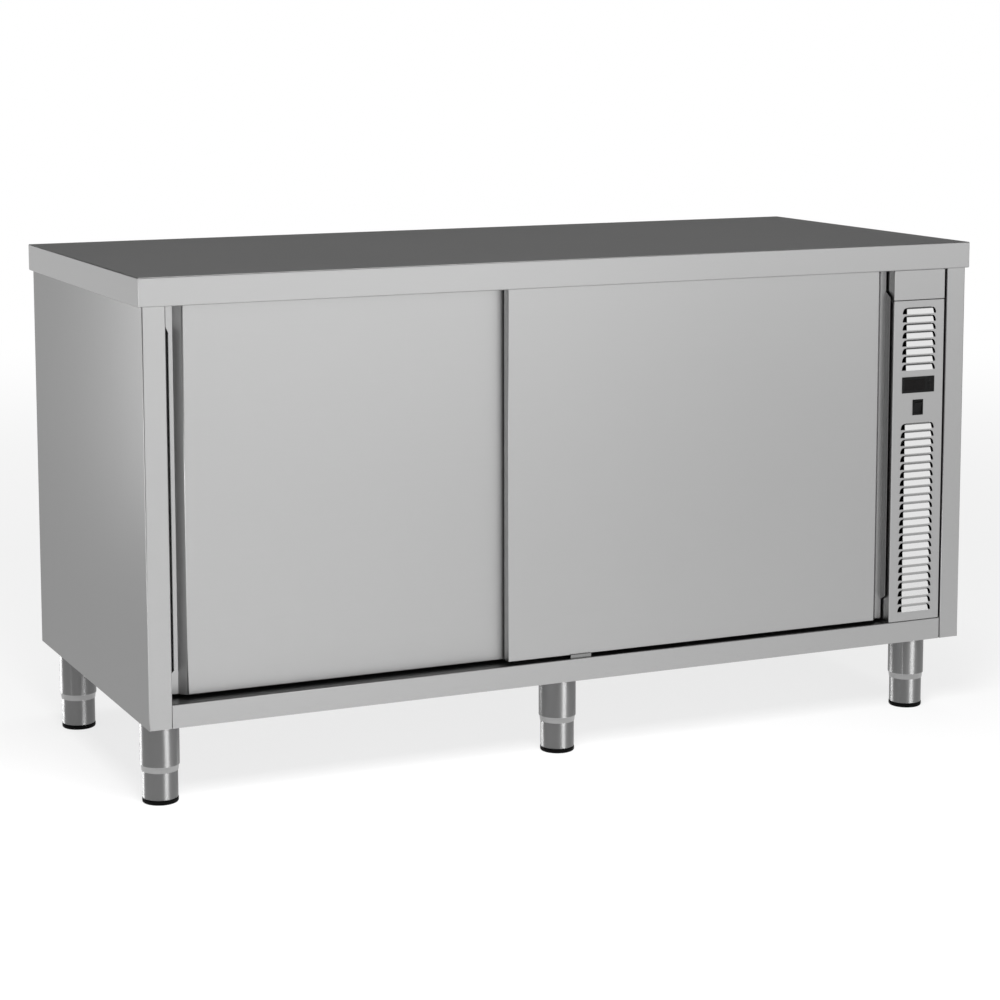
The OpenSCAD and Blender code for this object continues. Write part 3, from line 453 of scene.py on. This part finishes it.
def slice_at(bm, point, normal):
    """Cuts every face along a plane without taking anything away."""
    geometry = bm.verts[:] + bm.edges[:] + bm.faces[:]
    bmesh.ops.bisect_plane(bm, geom=geometry, dist=TINY / 10, plane_co=point, plane_no=normal)


def slice_lines(bm, columns, rows):
    """Cuts every face along upright planes at some X and level planes at some Z."""
    for x in sorted(set(columns)):
        slice_at(bm, (x, 0.0, 0.0), ACROSS)
    for z in sorted(set(rows)):
        slice_at(bm, (0.0, 0.0, z), UP)


def thicken(bm, inside, thickness=SHEET):
    """Gives a sheet its thickness on the side where the inside point lies."""
    face_front(bm)
    probe = max(bm.faces, key=lambda face: face.calc_area())
    if probe.normal.dot(Vector(inside) - probe.calc_center_median()) > 0:
        bmesh.ops.reverse_faces(bm, faces=bm.faces[:])
    bmesh.ops.solidify(bm, geom=bm.faces[:], thickness=thickness)


def spun(bm, points, centre, axis, steps):
    """Spins a line of points full round an axis."""
    line = [bm.verts.new(point) for point in points]
    strip = [bm.edges.new(pair) for pair in zip(line, line[1:])]
    bmesh.ops.spin(bm, geom=line + strip, cent=centre, axis=axis, angle=2.0 * math.pi, steps=steps,
                   use_merge=True, use_duplicate=False)


def turned(bm, profile, x, y):
    """Turns a profile of (radius, height) points about an upright axis."""
    spun(bm, [(x + radius, y, height) for radius, height in profile], (x, y, 0.0), UP, TURN_STEPS)


def arc(radius, height, bend, start, stop, steps=5):
    """Points of a rounded profile corner about (radius, height), from one angle in degrees to another."""
    points = []
    for step in range(steps + 1):
        angle = math.radians(start + (stop - start) * step / steps)
        points.append((radius + bend * math.cos(angle), height + bend * math.sin(angle)))
    return points


def shade_round(bm, limit=40.0):
    """Shades every face smooth and keeps edges sharper than the limit crisp."""
    bmesh.ops.remove_doubles(bm, verts=bm.verts[:], dist=TINY / 10)
    face_front(bm)
    for face in bm.faces:
        face.smooth = True
    for edge in bm.edges:
        edge.smooth = len(edge.link_faces) == 2 and edge.calc_face_angle() < math.radians(limit)


def finish_piece(name, bm, body, nodes, slot, looks=None):
    """Turns a bmesh into a piece that rides a body, stands for CAD nodes and wears its material."""
    mesh = bpy.data.meshes.new(name)
    bm.to_mesh(mesh)
    bm.free()
    for look in looks or [slot]:
        mesh.materials.append(FINISHES[look])
    piece = bpy.data.objects.new(name, mesh)
    bpy.context.scene.collection.objects.link(piece)
    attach(piece, body)
    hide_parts(*nodes)


# Cabinet

def build_worktop():
    """Folded top: rounded edges, a hollow underside with a hem, and a darker steel with painted shade on the
    upper face.
    """
    low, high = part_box("worktop")
    bm = hollowed(low, high, HEM, 2.0 * SHEET)

    def on_corner(point):
        return near(abs(point.x), high.x) and near(abs(point.y), high.y)

    def on_hem(point):
        return near(point.z, low.z) and (abs(point.x) > high.x - HEM / 2 or abs(point.y) > high.y - HEM / 2)

    outer = edges_where(bm, on_corner)
    outer += [edge for edge in edges_where(bm, lambda point: near(point.z, high.z)) if edge not in outer]
    roll(bm, outer, RIM_BEND, RIM_STEPS)
    roll(bm, edges_where(bm, on_hem), HEM_BEND, EDGE_STEPS)
    face_front(bm)
    # The upper face wears the darker worktop steel: painted shade.
    dress(bm, 1, lambda spot: near(spot.z, high.z))
    looks = ["outer_steel", "worktop_steel"]
    finish_piece("worktop_shell", bm, "cabinet", ["worktop"], "worktop_steel", looks)


def build_side(side):
    """Side panel folded into the front post with its jamb, and into a return at the back."""
    name = f"{side}_side_panel"
    low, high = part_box(name)
    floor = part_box("base_panel")[1].z
    outward = -1 if side == "left" else 1
    outer = low.x if side == "left" else high.x
    inner = high.x if side == "left" else low.x
    back = high.y - SHEET
    outline = [(outer - outward * BACK_RETURN, back, low.z), (outer, back, low.z), (outer, low.y, low.z),
               (inner, low.y, low.z), (inner, low.y + JAMB, low.z)]
    bm = folded(outline, (0.0, 0.0, high.z - low.z))
    slice_at(bm, (0.0, 0.0, floor), UP)
    spare = faces_where(bm, lambda spot: near(spot.x, inner) and spot.z < floor)
    bmesh.ops.delete(bm, geom=spare, context="FACES")
    thicken(bm, (0.0, 0.0, (low.z + high.z) / 2))
    # The outer face wears the darker side steel: painted shade.
    dress(bm, 1, lambda spot: near(spot.x, outer))
    finish_piece(f"{side}_side_shell", bm, "cabinet", [name], "outer_steel", ["outer_steel", "side_painted_shade_steel"])


def build_back():
    """Flat back panel with eased edges."""
    low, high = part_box("back_panel")
    bm = bmesh.new()
    cuboid(bm, low, high)
    roll(bm, bm.edges[:], EASE, EASE_STEPS)
    finish_piece("back_sheet", bm, "cabinet", ["back_panel"], "outer_steel")


def build_back_screws():
    """Domed screws in two columns along the edges of the back panel."""
    low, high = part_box("back_screws")
    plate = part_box("back_panel")[1].y
    pitch = (high.z - low.z - 2.0 * SCREW_RADIUS) / (SCREW_ROWS - 1)
    shank = SCREW_RADIUS / 2
    bm = bmesh.new()
    for x in (low.x + SCREW_RADIUS, high.x - SCREW_RADIUS):
        for row in range(SCREW_ROWS):
            z = low.z + SCREW_RADIUS + row * pitch
            points = [(x, high.y, z)]
            for step in range(1, DOME_STEPS + 1):
                angle = math.pi / 2 * (1.0 - step / DOME_STEPS)
                rise = (high.y - plate) * math.sin(angle)
                points.append((x + SCREW_RADIUS * math.cos(angle), plate + rise, z))
            points += [(x + shank, plate, z), (x + shank, low.y, z), (x, low.y, z)]
            spun(bm, points, (x, plate, z), INWARD, SCREW_STEPS)
    shade_round(bm)
    finish_piece("back_screw_heads", bm, "cabinet", ["back_screws"], "zinc_steel")


def build_base():
    """Chamber floor folded down into the front apron and a rear flange, with a backed seam at the right."""
    low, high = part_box("base_panel")
    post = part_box("left_side_panel")[1].x
    outline = [(post, low.y, low.z), (post, low.y, high.z), (post, high.y, high.z), (post, high.y, low.z)]
    bm = folded(outline, (-2.0 * post - SEAM, 0.0, 0.0))
    thicken(bm, (0.0, 0.0, low.z))
    for edge, inner in ((low.x, post), (-post - SEAM, high.x)):
        cuboid(bm, (edge, low.y + 2.0 * SHEET, high.z - SHEET), (inner, high.y, high.z))
    seam_floor = low.y + SEAM_DEPTH
    cuboid(bm, (-post - SEAM - SEAM_OVERLAP, seam_floor, low.z),
           (-post + SEAM_OVERLAP, seam_floor + SHEET, high.z - SHEET))
    face_front(bm)
    # The floor's upper face and the seam backing wear the darker worktop steel: painted shade.
    dress(bm, 1, lambda spot: near(spot.z, high.z) or near(spot.y, seam_floor))
    finish_piece("base_shell", bm, "cabinet", ["base_panel"], "outer_steel", ["outer_steel", "worktop_steel"])


def build_door_guide():
    """Floor guide: a plate with a low finger before the doors, and full ones between and behind them."""
    low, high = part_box("door_guide")
    front_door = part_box("right_door_front")
    rear_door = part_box("left_door_front")
    plate = low.z + GUIDE_SHEET
    fingers = [(low.y, low.y + GUIDE_SHEET, front_door[0].z + GUIDE_OVERLAP),
               (front_door[1].y + GUIDE_PLAY, rear_door[0].y - GUIDE_PLAY, high.z),
               (high.y - GUIDE_SHEET, high.y, high.z)]
    steps = []
    for near_side, far_side, top in fingers:
        steps += [(near_side, plate), (near_side, top), (far_side, top), (far_side, plate)]
    outline = [(high.y, low.z), (low.y, low.z)] + steps[1:-1]
    tops = [finger[-1] for finger in fingers]
    bm = bmesh.new()
    prism(bm, [(low.x, y, z) for y, z in outline], (high.x - low.x, 0.0, 0.0))
    brims = edges_where(bm, lambda point: any(near(point.z, top) for top in tops))
    roll(bm, brims, GUIDE_EASE, EDGE_STEPS)
    face_front(bm)
    # The whole guide wears the darker fold steel: painted shade.
    finish_piece("door_guide_tab", bm, "cabinet", ["door_guide"], "outer_steel", ["fold_painted_shade_steel"])


def build_shelf():
    """Shelf tray with rolled edges."""
    low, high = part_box("shelf")
    bm = hollowed(low, high, SHEET, SHEET)
    roll(bm, edges_where(bm, lambda point: near(point.z, high.z)), SHELF_BEND, RIM_STEPS)
    face_front(bm)
    finish_piece("shelf_tray", bm, "cabinet", ["shelf"], "inner_steel")


# Control column

def column_front():
    """The plane of the louvred panel, behind the louvres' own depth."""
    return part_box("control_panel")[0].y + HOOD_DEPTH


def add_hoods(bm, x, y, feet):
    """Adds pressed louvres: a sloping face hung from a steep shoulder, open below and at both ends."""
    depths = (0.0, HOOD_SHOULDER_DEPTH, HOOD_DEPTH)
    heights = (HOOD_HEIGHT, HOOD_HEIGHT - HOOD_SHOULDER, 0.0)
    hood = bmesh.new()
    rows = []
    for depth, height, taper in zip(depths, heights, HOOD_TAPERS):
        reach = HOOD_WIDTH / 2 - HOOD_END - taper
        rows.append([hood.verts.new((side * reach, -depth, height)) for side in (-1, 1)])
    for above, below in zip(rows, rows[1:]):
        hood.faces.new(above + below[::-1])
    thicken(hood, (0.0, 0.5, 0.0), HOOD_SHEET)
    # The sloping faces wear a lighter steel, painted highlight; the shoulder a darker one, painted shade.
    dress(hood, 1, lambda spot: True)
    dress(hood, 2, lambda spot: spot.z > HOOD_HEIGHT - HOOD_SHOULDER)
    mesh = bpy.data.meshes.new("hood")
    hood.to_mesh(mesh)
    hood.free()
    for z in feet:
        known = set(bm.verts)
        bm.from_mesh(mesh)
        bmesh.ops.translate(bm, vec=(x, y, z), verts=[vert for vert in bm.verts if vert not in known])
    bpy.data.meshes.remove(mesh)


def round_slots(bm, x, y, feet):
    """Fills the upper outer corners of the louvre slots so that each end is a quarter round."""
    half = HOOD_WIDTH / 2
    top = SLOT_HEIGHT + SLOT_SEAT
    known = set(bm.faces)
    for z in feet:
        for side in (-1, 1):
            corner = [(half - HOOD_END, top), (half + SLOT_SEAT, top), (half + SLOT_SEAT, 0.0)]
            for step in range(SLOT_STEPS + 1):
                angle = math.pi / 2 * step / SLOT_STEPS
                corner.append((half + HOOD_END * (math.cos(angle) - 1.0), SLOT_HEIGHT * math.sin(angle)))
            outline = [(x + side * across, y + TINY, z + height) for across, height in corner]
            prism(bm, outline, (0.0, SHEET - 2.0 * TINY, 0.0))
    bmesh.ops.recalc_face_normals(bm, faces=[face for face in bm.faces if face not in known])


def build_fascia():
    """Fascia strip above the louvred panel."""
    low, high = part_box("fascia_strip")
    bm = tray(low, high, FASCIA_BEND)
    thicken(bm, (0.0, 1.0, high.z))
    finish_piece("fascia_cover", bm, "cabinet", ["fascia_strip"], "outer_steel")


def build_column():
    """Louvred panel with the openings for controller and switch."""
    low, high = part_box("control_panel")
    front = column_front()
    middle = (low.x + high.x) / 2
    half = HOOD_WIDTH / 2
    first = high.z - UPPER_DROP - HOOD_HEIGHT
    feet = [first - HOOD_PITCH * row for row in range(UPPER_HOODS)]
    feet += [low.z + LOWER_RISE + HOOD_PITCH * row for row in range(LOWER_HOODS)]
    openings = [(middle - half, middle + half, z, z + SLOT_HEIGHT) for z in feet]
    for name in ("controller_case", "switch_housing"):
        near_corner, far_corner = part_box(name)
        openings.append((near_corner.x + OPENING_RIM, far_corner.x - OPENING_RIM,
                         near_corner.z + OPENING_RIM, far_corner.z - OPENING_RIM))
    bm = tray((low.x, front, low.z), high)
    slice_lines(bm, [x for opening in openings for x in opening[:2]],
                [z for opening in openings for z in opening[2:]])

    def in_opening(spot):
        return near(spot.y, front) and any(within(spot, *opening) for opening in openings)

    bmesh.ops.delete(bm, geom=faces_where(bm, in_opening), context="FACES")
    thicken(bm, (middle, 1.0, low.z))
    round_slots(bm, middle, front, feet)
    add_hoods(bm, middle, front, feet)
    looks = ["outer_steel", "hood_painted_highlight_steel", "fold_painted_shade_steel"]
    finish_piece("louvred_panel", bm, "cabinet", ["control_panel"], "outer_steel", looks)


def build_controller():
    """Controller body with pockets for its window and its three keys."""
    low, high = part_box("controller_case")
    front = column_front()
    glass_low, glass_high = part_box("controller_window")
    pockets = [(glass_low.x, glass_high.x, glass_low.z, glass_high.z, glass_high.y - glass_low.y)]
    for key in KEYS:
        key_low, key_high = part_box(key)
        pockets.append((key_low.x - KEY_PLAY, key_high.x + KEY_PLAY,
                        key_low.z - KEY_PLAY, key_high.z + KEY_PLAY, KEY_WELL))
    bm = bmesh.new()
    cuboid(bm, low, (high.x, front, high.z))
    back = faces_where(bm, lambda spot: near(spot.y, front))
    bmesh.ops.inset_region(bm, faces=back, thickness=CASE_STEP, use_even_offset=True)
    push(bm, back, (0.0, high.y - front, 0.0))
    roll(bm, edges_where(bm, lambda point: near(point.y, low.y)), BEZEL_BEND, EDGE_STEPS)
    for left, right, foot, top, depth in pockets:
        slice_lines(bm, (left, right), (foot, top))
    for left, right, foot, top, depth in pockets:
        patch = faces_where(bm, lambda spot: near(spot.y, low.y) and within(spot, left, right, foot, top))
        push(bm, patch, (0.0, depth, 0.0))
    face_front(bm)
    finish_piece("controller_body", bm, "cabinet", ["controller_case"], "black_plastic")


def build_window_and_keys():
    """The controller's display window and its keys, with eased front edges."""
    caps = [("controller_glass", "controller_window", "cabinet", EASE, EASE_STEPS, "display_window")]
    for key in KEYS:
        caps.append((f"{key}_cap", key, key, KEY_BEND, EDGE_STEPS, "key_plastic"))
    for name, node, body, bend, steps, slot in caps:
        low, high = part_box(node)
        bm = bmesh.new()
        cuboid(bm, low, high)
        roll(bm, edges_where(bm, lambda point: near(point.y, low.y)), bend, steps)
        finish_piece(name, bm, body, [node], slot)


def build_switch():
    """Frame of the rocker switch: rolled edges round a deep pocket, on a narrower body."""
    low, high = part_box("switch_housing")
    step = Vector((FRAME_STEP, 0.0, FRAME_STEP))
    bm = bmesh.new()
    cuboid(bm, low, (high.x, column_front(), high.z))
    rim = edges_where(bm, lambda point: near(point.y, low.y))
    face = faces_where(bm, lambda spot: near(spot.y, low.y))
    bmesh.ops.inset_region(bm, faces=face, thickness=ROCKER_WALL, use_even_offset=True)
    push(bm, face, (0.0, ROCKER_DEPTH, 0.0))
    roll(bm, rim, FRAME_BEND, EDGE_STEPS)
    cuboid(bm, Vector((low.x, low.y + ROCKER_DEPTH + TINY, low.z)) + step, high - step)
    face_front(bm)
    finish_piece("switch_frame", bm, "cabinet", ["switch_housing"], "black_plastic")


def build_rocker():
    """Dished rocker that rests tipped to its off side."""
    low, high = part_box("switch_housing")
    middle = (low + high) / 2
    pivot = Vector((middle.x, column_front() + PIVOT_DEPTH, middle.z))
    half_width = (high.x - low.x) / 2 - ROCKER_WALL - ROCKER_SIDE_PLAY
    half_height = (high.z - low.z) / 2 - ROCKER_WALL - ROCKER_END_PLAY
    outline = []
    for step in range(ROCKER_STEPS + 1):
        along = 2.0 * step / ROCKER_STEPS - 1.0
        outline.append((-ROCKER_REACH + ROCKER_DISH * (1.0 - along * along), along * half_height))
    outline += [(ROCKER_TAIL / 2, half_height), (ROCKER_TAIL, 0.0), (ROCKER_TAIL / 2, -half_height)]
    bm = bmesh.new()
    prism(bm, [pivot + Vector((-half_width, y, z)) for y, z in outline], (2.0 * half_width, 0.0, 0.0))
    ahead = edges_where(bm, lambda point: point.y < pivot.y - ROCKER_REACH + ROCKER_DISH + TINY)
    roll(bm, [edge for edge in ahead if edge.calc_face_angle() > BROW_ANGLE], BROW_BEND, EDGE_STEPS)
    tilt = Matrix.Rotation(math.radians(ROCKER_TILT), 3, "X")
    bmesh.ops.rotate(bm, cent=pivot, matrix=tilt, verts=bm.verts[:])
    face_front(bm)
    finish_piece("rocker_cap", bm, "switch_rocker", ["switch_rocker"], "black_plastic")


# Doors

def build_door(side):
    """Door front: flat face, slanted handle wall, flange at the back plane and a lip with chamfered ends."""
    name = f"{side}_door_front"
    low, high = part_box(name)
    inward = 1 if side == "left" else -1
    edge = low.x if side == "left" else high.x
    width, thick, height = high - low

    def at(x, y, z):
        return Vector((edge + inward * x, low.y + y, low.z + z))

    def depth(spot):
        return (spot.x - edge) * inward

    foot = FLANGE + SLOPE * SKIN / thick
    grip = FLANGE + SLOPE
    back = thick - SKIN
    bm = bmesh.new()
    plan = [(foot, back), (grip, 0.0), (width, 0.0), (width, back)]
    prism(bm, [at(x, y, 0.0) for x, y in plan], (0.0, 0.0, height))
    roll(bm, edges_where(bm, lambda point: near(point.y, low.y)), FACE_BEND)
    cuboid(bm, at(0.0, back, 0.0), at(foot, thick, height))
    lip_foot = height / 2 - LIP_DROP - LIP_LENGTH / 2
    lip_top = height / 2 - LIP_DROP + LIP_LENGTH / 2
    lip = [(back, lip_foot), (back, lip_top), (0.0, lip_top - LIP_CHAMFER), (0.0, lip_foot + LIP_CHAMFER)]
    prism(bm, [at(0.0, y, z) for y, z in lip], (inward * SKIN, 0.0, 0.0))
    face_front(bm)
    # The lip and the flange's end wear the darker fold steel: painted shade.
    dress(bm, 1, lambda spot: depth(spot) < SKIN + TINY)
    dress(bm, 2, lambda spot: FLANGE < depth(spot) < grip - TINY)
    looks = ["outer_steel", "fold_painted_shade_steel", "inner_steel"]
    finish_piece(f"{side}_door_skin", bm, f"{side}_door", [name], "outer_steel", looks)


# Legs

def build_sleeves(places):
    """Leg tubes with a tapered neck below and a bolting plate above, all in one piece."""
    low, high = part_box("leg_sleeves")
    top = high.z - LEG_PLATE
    neck = low.z + NECK
    inner = LEG_RADIUS - LEG_WALL
    bore = FOOT_RADIUS + FOOT_PLAY
    bm = bmesh.new()
    for x, y in places:
        profile = [(bore, low.z)] + arc(bore + NECK_LIP, low.z + NECK_LIP, NECK_LIP, -90.0, 0.0, EDGE_STEPS)
        profile += arc(LEG_RADIUS - NECK_BEND, neck + NECK_RISE, NECK_BEND, -50.0, 0.0)
        profile += [(LEG_RADIUS, top), (inner, top), (inner, neck), (bore, neck - NECK_TAPER), (bore, low.z)]
        turned(bm, profile, x, y)
    shade_round(bm)
    # The tubes wear the darker leg steel, painted shade; the neck and a band just above it the lighter neck
    # steel, painted highlight.
    dress(bm, 1, lambda spot: spot.z < neck + NECK_PAINTED_HIGHLIGHT)
    corner = Vector((PLATE_WIDTH / 2, PLATE_LENGTH / 2, 0.0))
    for x, y in places:
        cuboid(bm, Vector((x, y, top)) - corner, Vector((x, y, high.z)) + corner)
    finish_piece("leg_tubes", bm, "cabinet", ["leg_sleeves"], "leg_steel", ["leg_steel", "neck_painted_highlight_steel"])


def build_foot(place, x, y):
    """Screwed foot: a tube with a rolled lower edge around its stud."""
    low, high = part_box(f"foot_{place}")
    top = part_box("leg_sleeves")[0].z + NECK + FOOT_TRAVEL + FOOT_HOLD
    sole = low.z + FOOT_SOLE
    inner = FOOT_RADIUS - LEG_WALL
    profile = [(0.0, low.z)] + arc(FOOT_RADIUS - FOOT_BEND, low.z + FOOT_BEND, FOOT_BEND, -90.0, 0.0)
    profile += [(FOOT_RADIUS, top), (inner, top), (inner, sole), (STUD_RADIUS, sole), (STUD_RADIUS, high.z),
                (0.0, high.z)]
    bm = bmesh.new()
    turned(bm, profile, x, y)
    shade_round(bm)
    # The foot wears the darker leg steel: painted shade.
    finish_piece(f"foot_tube_{place}", bm, f"foot_{place}", [f"foot_{place}"], "leg_steel")


def build_pad(place, x, y):
    """Soft pad under a foot, with a full lower edge and a crisp upper one."""
    low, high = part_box(f"pad_{place}")
    radius = (high.x - low.x) / 2
    profile = [(0.0, low.z)]
    profile += arc(radius - PAD_FOOT_BEND, low.z + PAD_FOOT_BEND, PAD_FOOT_BEND, -90.0, 0.0)
    profile += arc(radius - PAD_TOP_BEND, high.z - PAD_TOP_BEND, PAD_TOP_BEND, 0.0, 90.0)
    profile.append((0.0, high.z))
    bm = bmesh.new()
    turned(bm, profile, x, y)
    shade_round(bm)
    finish_piece(f"foot_pad_{place}", bm, f"foot_{place}", [f"pad_{place}"], "foot_rubber")


def build_legs():
    """Six legs: sleeves fixed to the cabinet, feet and pads on bodies of their own."""
    places = []
    for row in ("front", "back"):
        for column in ("left", "middle", "right"):
            place = f"{row}_{column}"
            low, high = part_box(f"pad_{place}")
            middle = (low + high) / 2
            places.append((middle.x, middle.y))
            build_foot(place, middle.x, middle.y)
            build_pad(place, middle.x, middle.y)
    build_sleeves(places)


build_worktop()
build_side("left")
build_side("right")
build_back()
build_back_screws()
build_base()
build_door_guide()
build_shelf()
build_fascia()
build_column()
build_controller()
build_window_and_keys()
build_switch()
build_rocker()
build_door("left")
build_door("right")
build_legs()

# Every CAD node wears its slot's finish, and shows it where no piece stands for the node
for part in frame["record"]["subparts"]:
    node = frame["nodes"][part["node"]]
    node.data.materials.clear()
    node.data.materials.append(FINISHES[part["material_slot"]])


# Studio

def light_paths(nodes, links):
    """One factor for the rays that show the plain background: camera, glossy and transmission."""
    path = nodes.new("ShaderNodeLightPath")
    first = arithmetic(nodes, "MAXIMUM")
    second = arithmetic(nodes, "MAXIMUM")
    links.new(path.outputs["Is Camera Ray"], first.inputs[0])
    links.new(path.outputs["Is Glossy Ray"], first.inputs[1])
    links.new(first.outputs["Value"], second.inputs[0])
    links.new(path.outputs["Is Transmission Ray"], second.inputs[1])
    return second.outputs["Value"]


def floor_material():
    """Matt and pale to the lamps, and mostly plain white to the eye, fully so far from the cupboard."""
    material = bpy.data.materials.new("studio_floor")
    material.use_nodes = True
    nodes, links = material.node_tree.nodes, material.node_tree.links
    nodes.remove(nodes["Principled BSDF"])
    matt = nodes.new("ShaderNodeBsdfDiffuse")
    matt.inputs["Color"].default_value = grey(0.85)
    glow = nodes.new("ShaderNodeEmission")
    glow.inputs["Color"].default_value = WHITE
    place = nodes.new("ShaderNodeTexCoord")
    reach = nodes.new("ShaderNodeVectorMath")
    reach.operation = "LENGTH"
    near_share = ramp(nodes, start=1.5, stop=6.0, first=0.77, last=1.0)
    share = arithmetic(nodes, "MULTIPLY")
    blend = nodes.new("ShaderNodeMixShader")
    links.new(place.outputs["Object"], reach.inputs[0])
    links.new(reach.outputs["Value"], near_share.inputs["Value"])
    links.new(light_paths(nodes, links), share.inputs[0])
    links.new(near_share.outputs["Result"], share.inputs[1])
    links.new(share.outputs["Value"], blend.inputs["Fac"])
    links.new(matt.outputs["BSDF"], blend.inputs[1])
    links.new(glow.outputs["Emission"], blend.inputs[2])
    links.new(blend.outputs["Shader"], nodes["Material Output"].inputs["Surface"])
    return material


def build_floor():
    """Wide round floor that stays white to the eye and keeps a faint shadow."""
    mesh = bpy.data.meshes.new("studio_floor")
    bm = bmesh.new()
    bmesh.ops.create_circle(bm, cap_ends=True, segments=FLOOR_STEPS, radius=FLOOR_RADIUS)
    bm.to_mesh(mesh)
    bm.free()
    mesh.materials.append(floor_material())
    floor = bpy.data.objects.new("studio_floor", mesh)
    bpy.context.scene.collection.objects.link(floor)
    return floor


def build_world():
    """White low horizon under a dim studio that is darkest towards the far right corner."""
    world = bpy.data.worlds.new("studio")
    bpy.context.scene.world = world
    world.use_nodes = True
    nodes, links = world.node_tree.nodes, world.node_tree.links
    place = nodes.new("ShaderNodeTexCoord")
    split = nodes.new("ShaderNodeSeparateXYZ")
    far_corner = nodes.new("ShaderNodeVectorMath")
    far_corner.operation = "DOT_PRODUCT"
    far_corner.inputs[1].default_value = (0.42, 0.91, 0.0)
    depth = ramp(nodes, start=0.1, stop=0.8, first=0.34, last=0.02)
    band_start, band_stop = [math.sin(math.radians(angle)) for angle in (5.5, 8.0)]
    band = ramp(nodes, start=band_start, stop=band_stop, first=1.0, last=0.0)
    seen = arithmetic(nodes, "MULTIPLY")
    level = nodes.new("ShaderNodeMix")
    level.inputs["B"].default_value = 1.0
    links.new(place.outputs["Generated"], split.inputs["Vector"])
    links.new(place.outputs["Generated"], far_corner.inputs[0])
    links.new(far_corner.outputs["Value"], depth.inputs["Value"])
    links.new(split.outputs["Z"], band.inputs["Value"])
    links.new(band.outputs["Result"], seen.inputs[0])
    links.new(light_paths(nodes, links), seen.inputs[1])
    links.new(seen.outputs["Value"], level.inputs["Factor"])
    links.new(depth.outputs["Result"], level.inputs["A"])
    links.new(level.outputs["Result"], nodes["Background"].inputs["Color"])


def softbox(name, spot, aim, size, radiance, only=None):
    """A rectangular lamp that faces a point, set by the brightness of its face.

    It lights everything, or only the given objects.
    """
    width, height = size
    lamp = bpy.data.lights.new(name, "AREA")
    lamp.shape = "RECTANGLE"
    lamp.size = width
    lamp.size_y = height
    lamp.energy = radiance * width * height * math.pi
    holder = bpy.data.objects.new(name, lamp)
    holder.location = spot
    holder.rotation_euler = (Vector(aim) - Vector(spot)).to_track_quat("-Z", "Y").to_euler()
    bpy.context.scene.collection.objects.link(holder)
    if only:
        lit = bpy.data.collections.new(name)
        for piece in only:
            lit.objects.link(piece)
        holder.light_linking.receiver_collection = lit


def build_lamps(floor):
    """Soft lamps for the cupboard, and others for the floor, the bends, the legs or the left side alone."""
    model = [item for item in bpy.data.objects if item.type == "MESH" and item is not floor]
    pieces = bpy.context.scene.collection.objects
    legs = [piece for piece in pieces if piece.name.startswith(("leg_tubes", "foot_tube"))]
    sheets = ("door_skin", "side_shell", "worktop_shell", "base_shell")
    bends = [piece for piece in pieces if piece.name.endswith(sheets)]
    left_side = [pieces["left_side_shell"]]
    softbox("floor_lamp", spot=(-0.7, -1.6, 1.7), aim=(-0.7, -1.5, 0.0), size=(1.2, 1.0), radiance=24.0,
            only=[floor])
    softbox("front_strip", spot=(-0.3, -3.6, 0.9), aim=(-0.3, -0.3, 0.5), size=(0.25, 1.7), radiance=2.6)
    softbox("low_softbox", spot=(0.75, -3.4, 0.85), aim=(0.0, -0.3, 0.5), size=(1.5, 1.5), radiance=0.95)
    softbox("key_softbox", spot=(2.6, -3.4, 1.62), aim=(0.5, -0.3, 0.5), size=(2.2, 1.5), radiance=1.35,
            only=model)
    softbox("overhead_softbox", spot=(0.2, 0.9, 4.0), aim=(0.0, 0.4, 0.5), size=(3.5, 1.8), radiance=3.2)
    softbox("edge_softbox", spot=(-2.6, -2.6, 0.7), aim=(-0.4, -0.35, 0.5), size=(1.6, 1.2), radiance=3.0,
            only=bends)
    softbox("leg_strip", spot=(1.9, -6.1, 1.2), aim=(0.0, -0.3, 0.1), size=(2.6, 2.4), radiance=15.0,
            only=legs)
    softbox("leg_edge", spot=(-3.7, 5.3, 0.5), aim=(-0.4, 0.0, 0.1), size=(3.2, 0.9), radiance=30.0,
            only=legs)
    softbox("side_softbox", spot=(-1.35, 0.2, 0.75), aim=(-0.793, -0.3, 0.55), size=(0.4, 0.8), radiance=4.2,
            only=left_side)


def build_camera():
    """The photo's camera."""
    lens = bpy.data.cameras.new("photo_camera")
    lens.sensor_width = 36.0
    lens.lens = 92.72
    lens.shift_y = -0.15
    camera = bpy.data.objects.new("photo_camera", lens)
    camera.location = (-1.978, -4.331, 1.2986)
    camera.rotation_euler = [math.radians(angle) for angle in (82.716, 0.065, -24.541)]
    bpy.context.scene.collection.objects.link(camera)
    bpy.context.scene.camera = camera


build_world()
build_lamps(build_floor())
build_camera()
bpy.context.scene.view_settings.view_transform = "Standard"
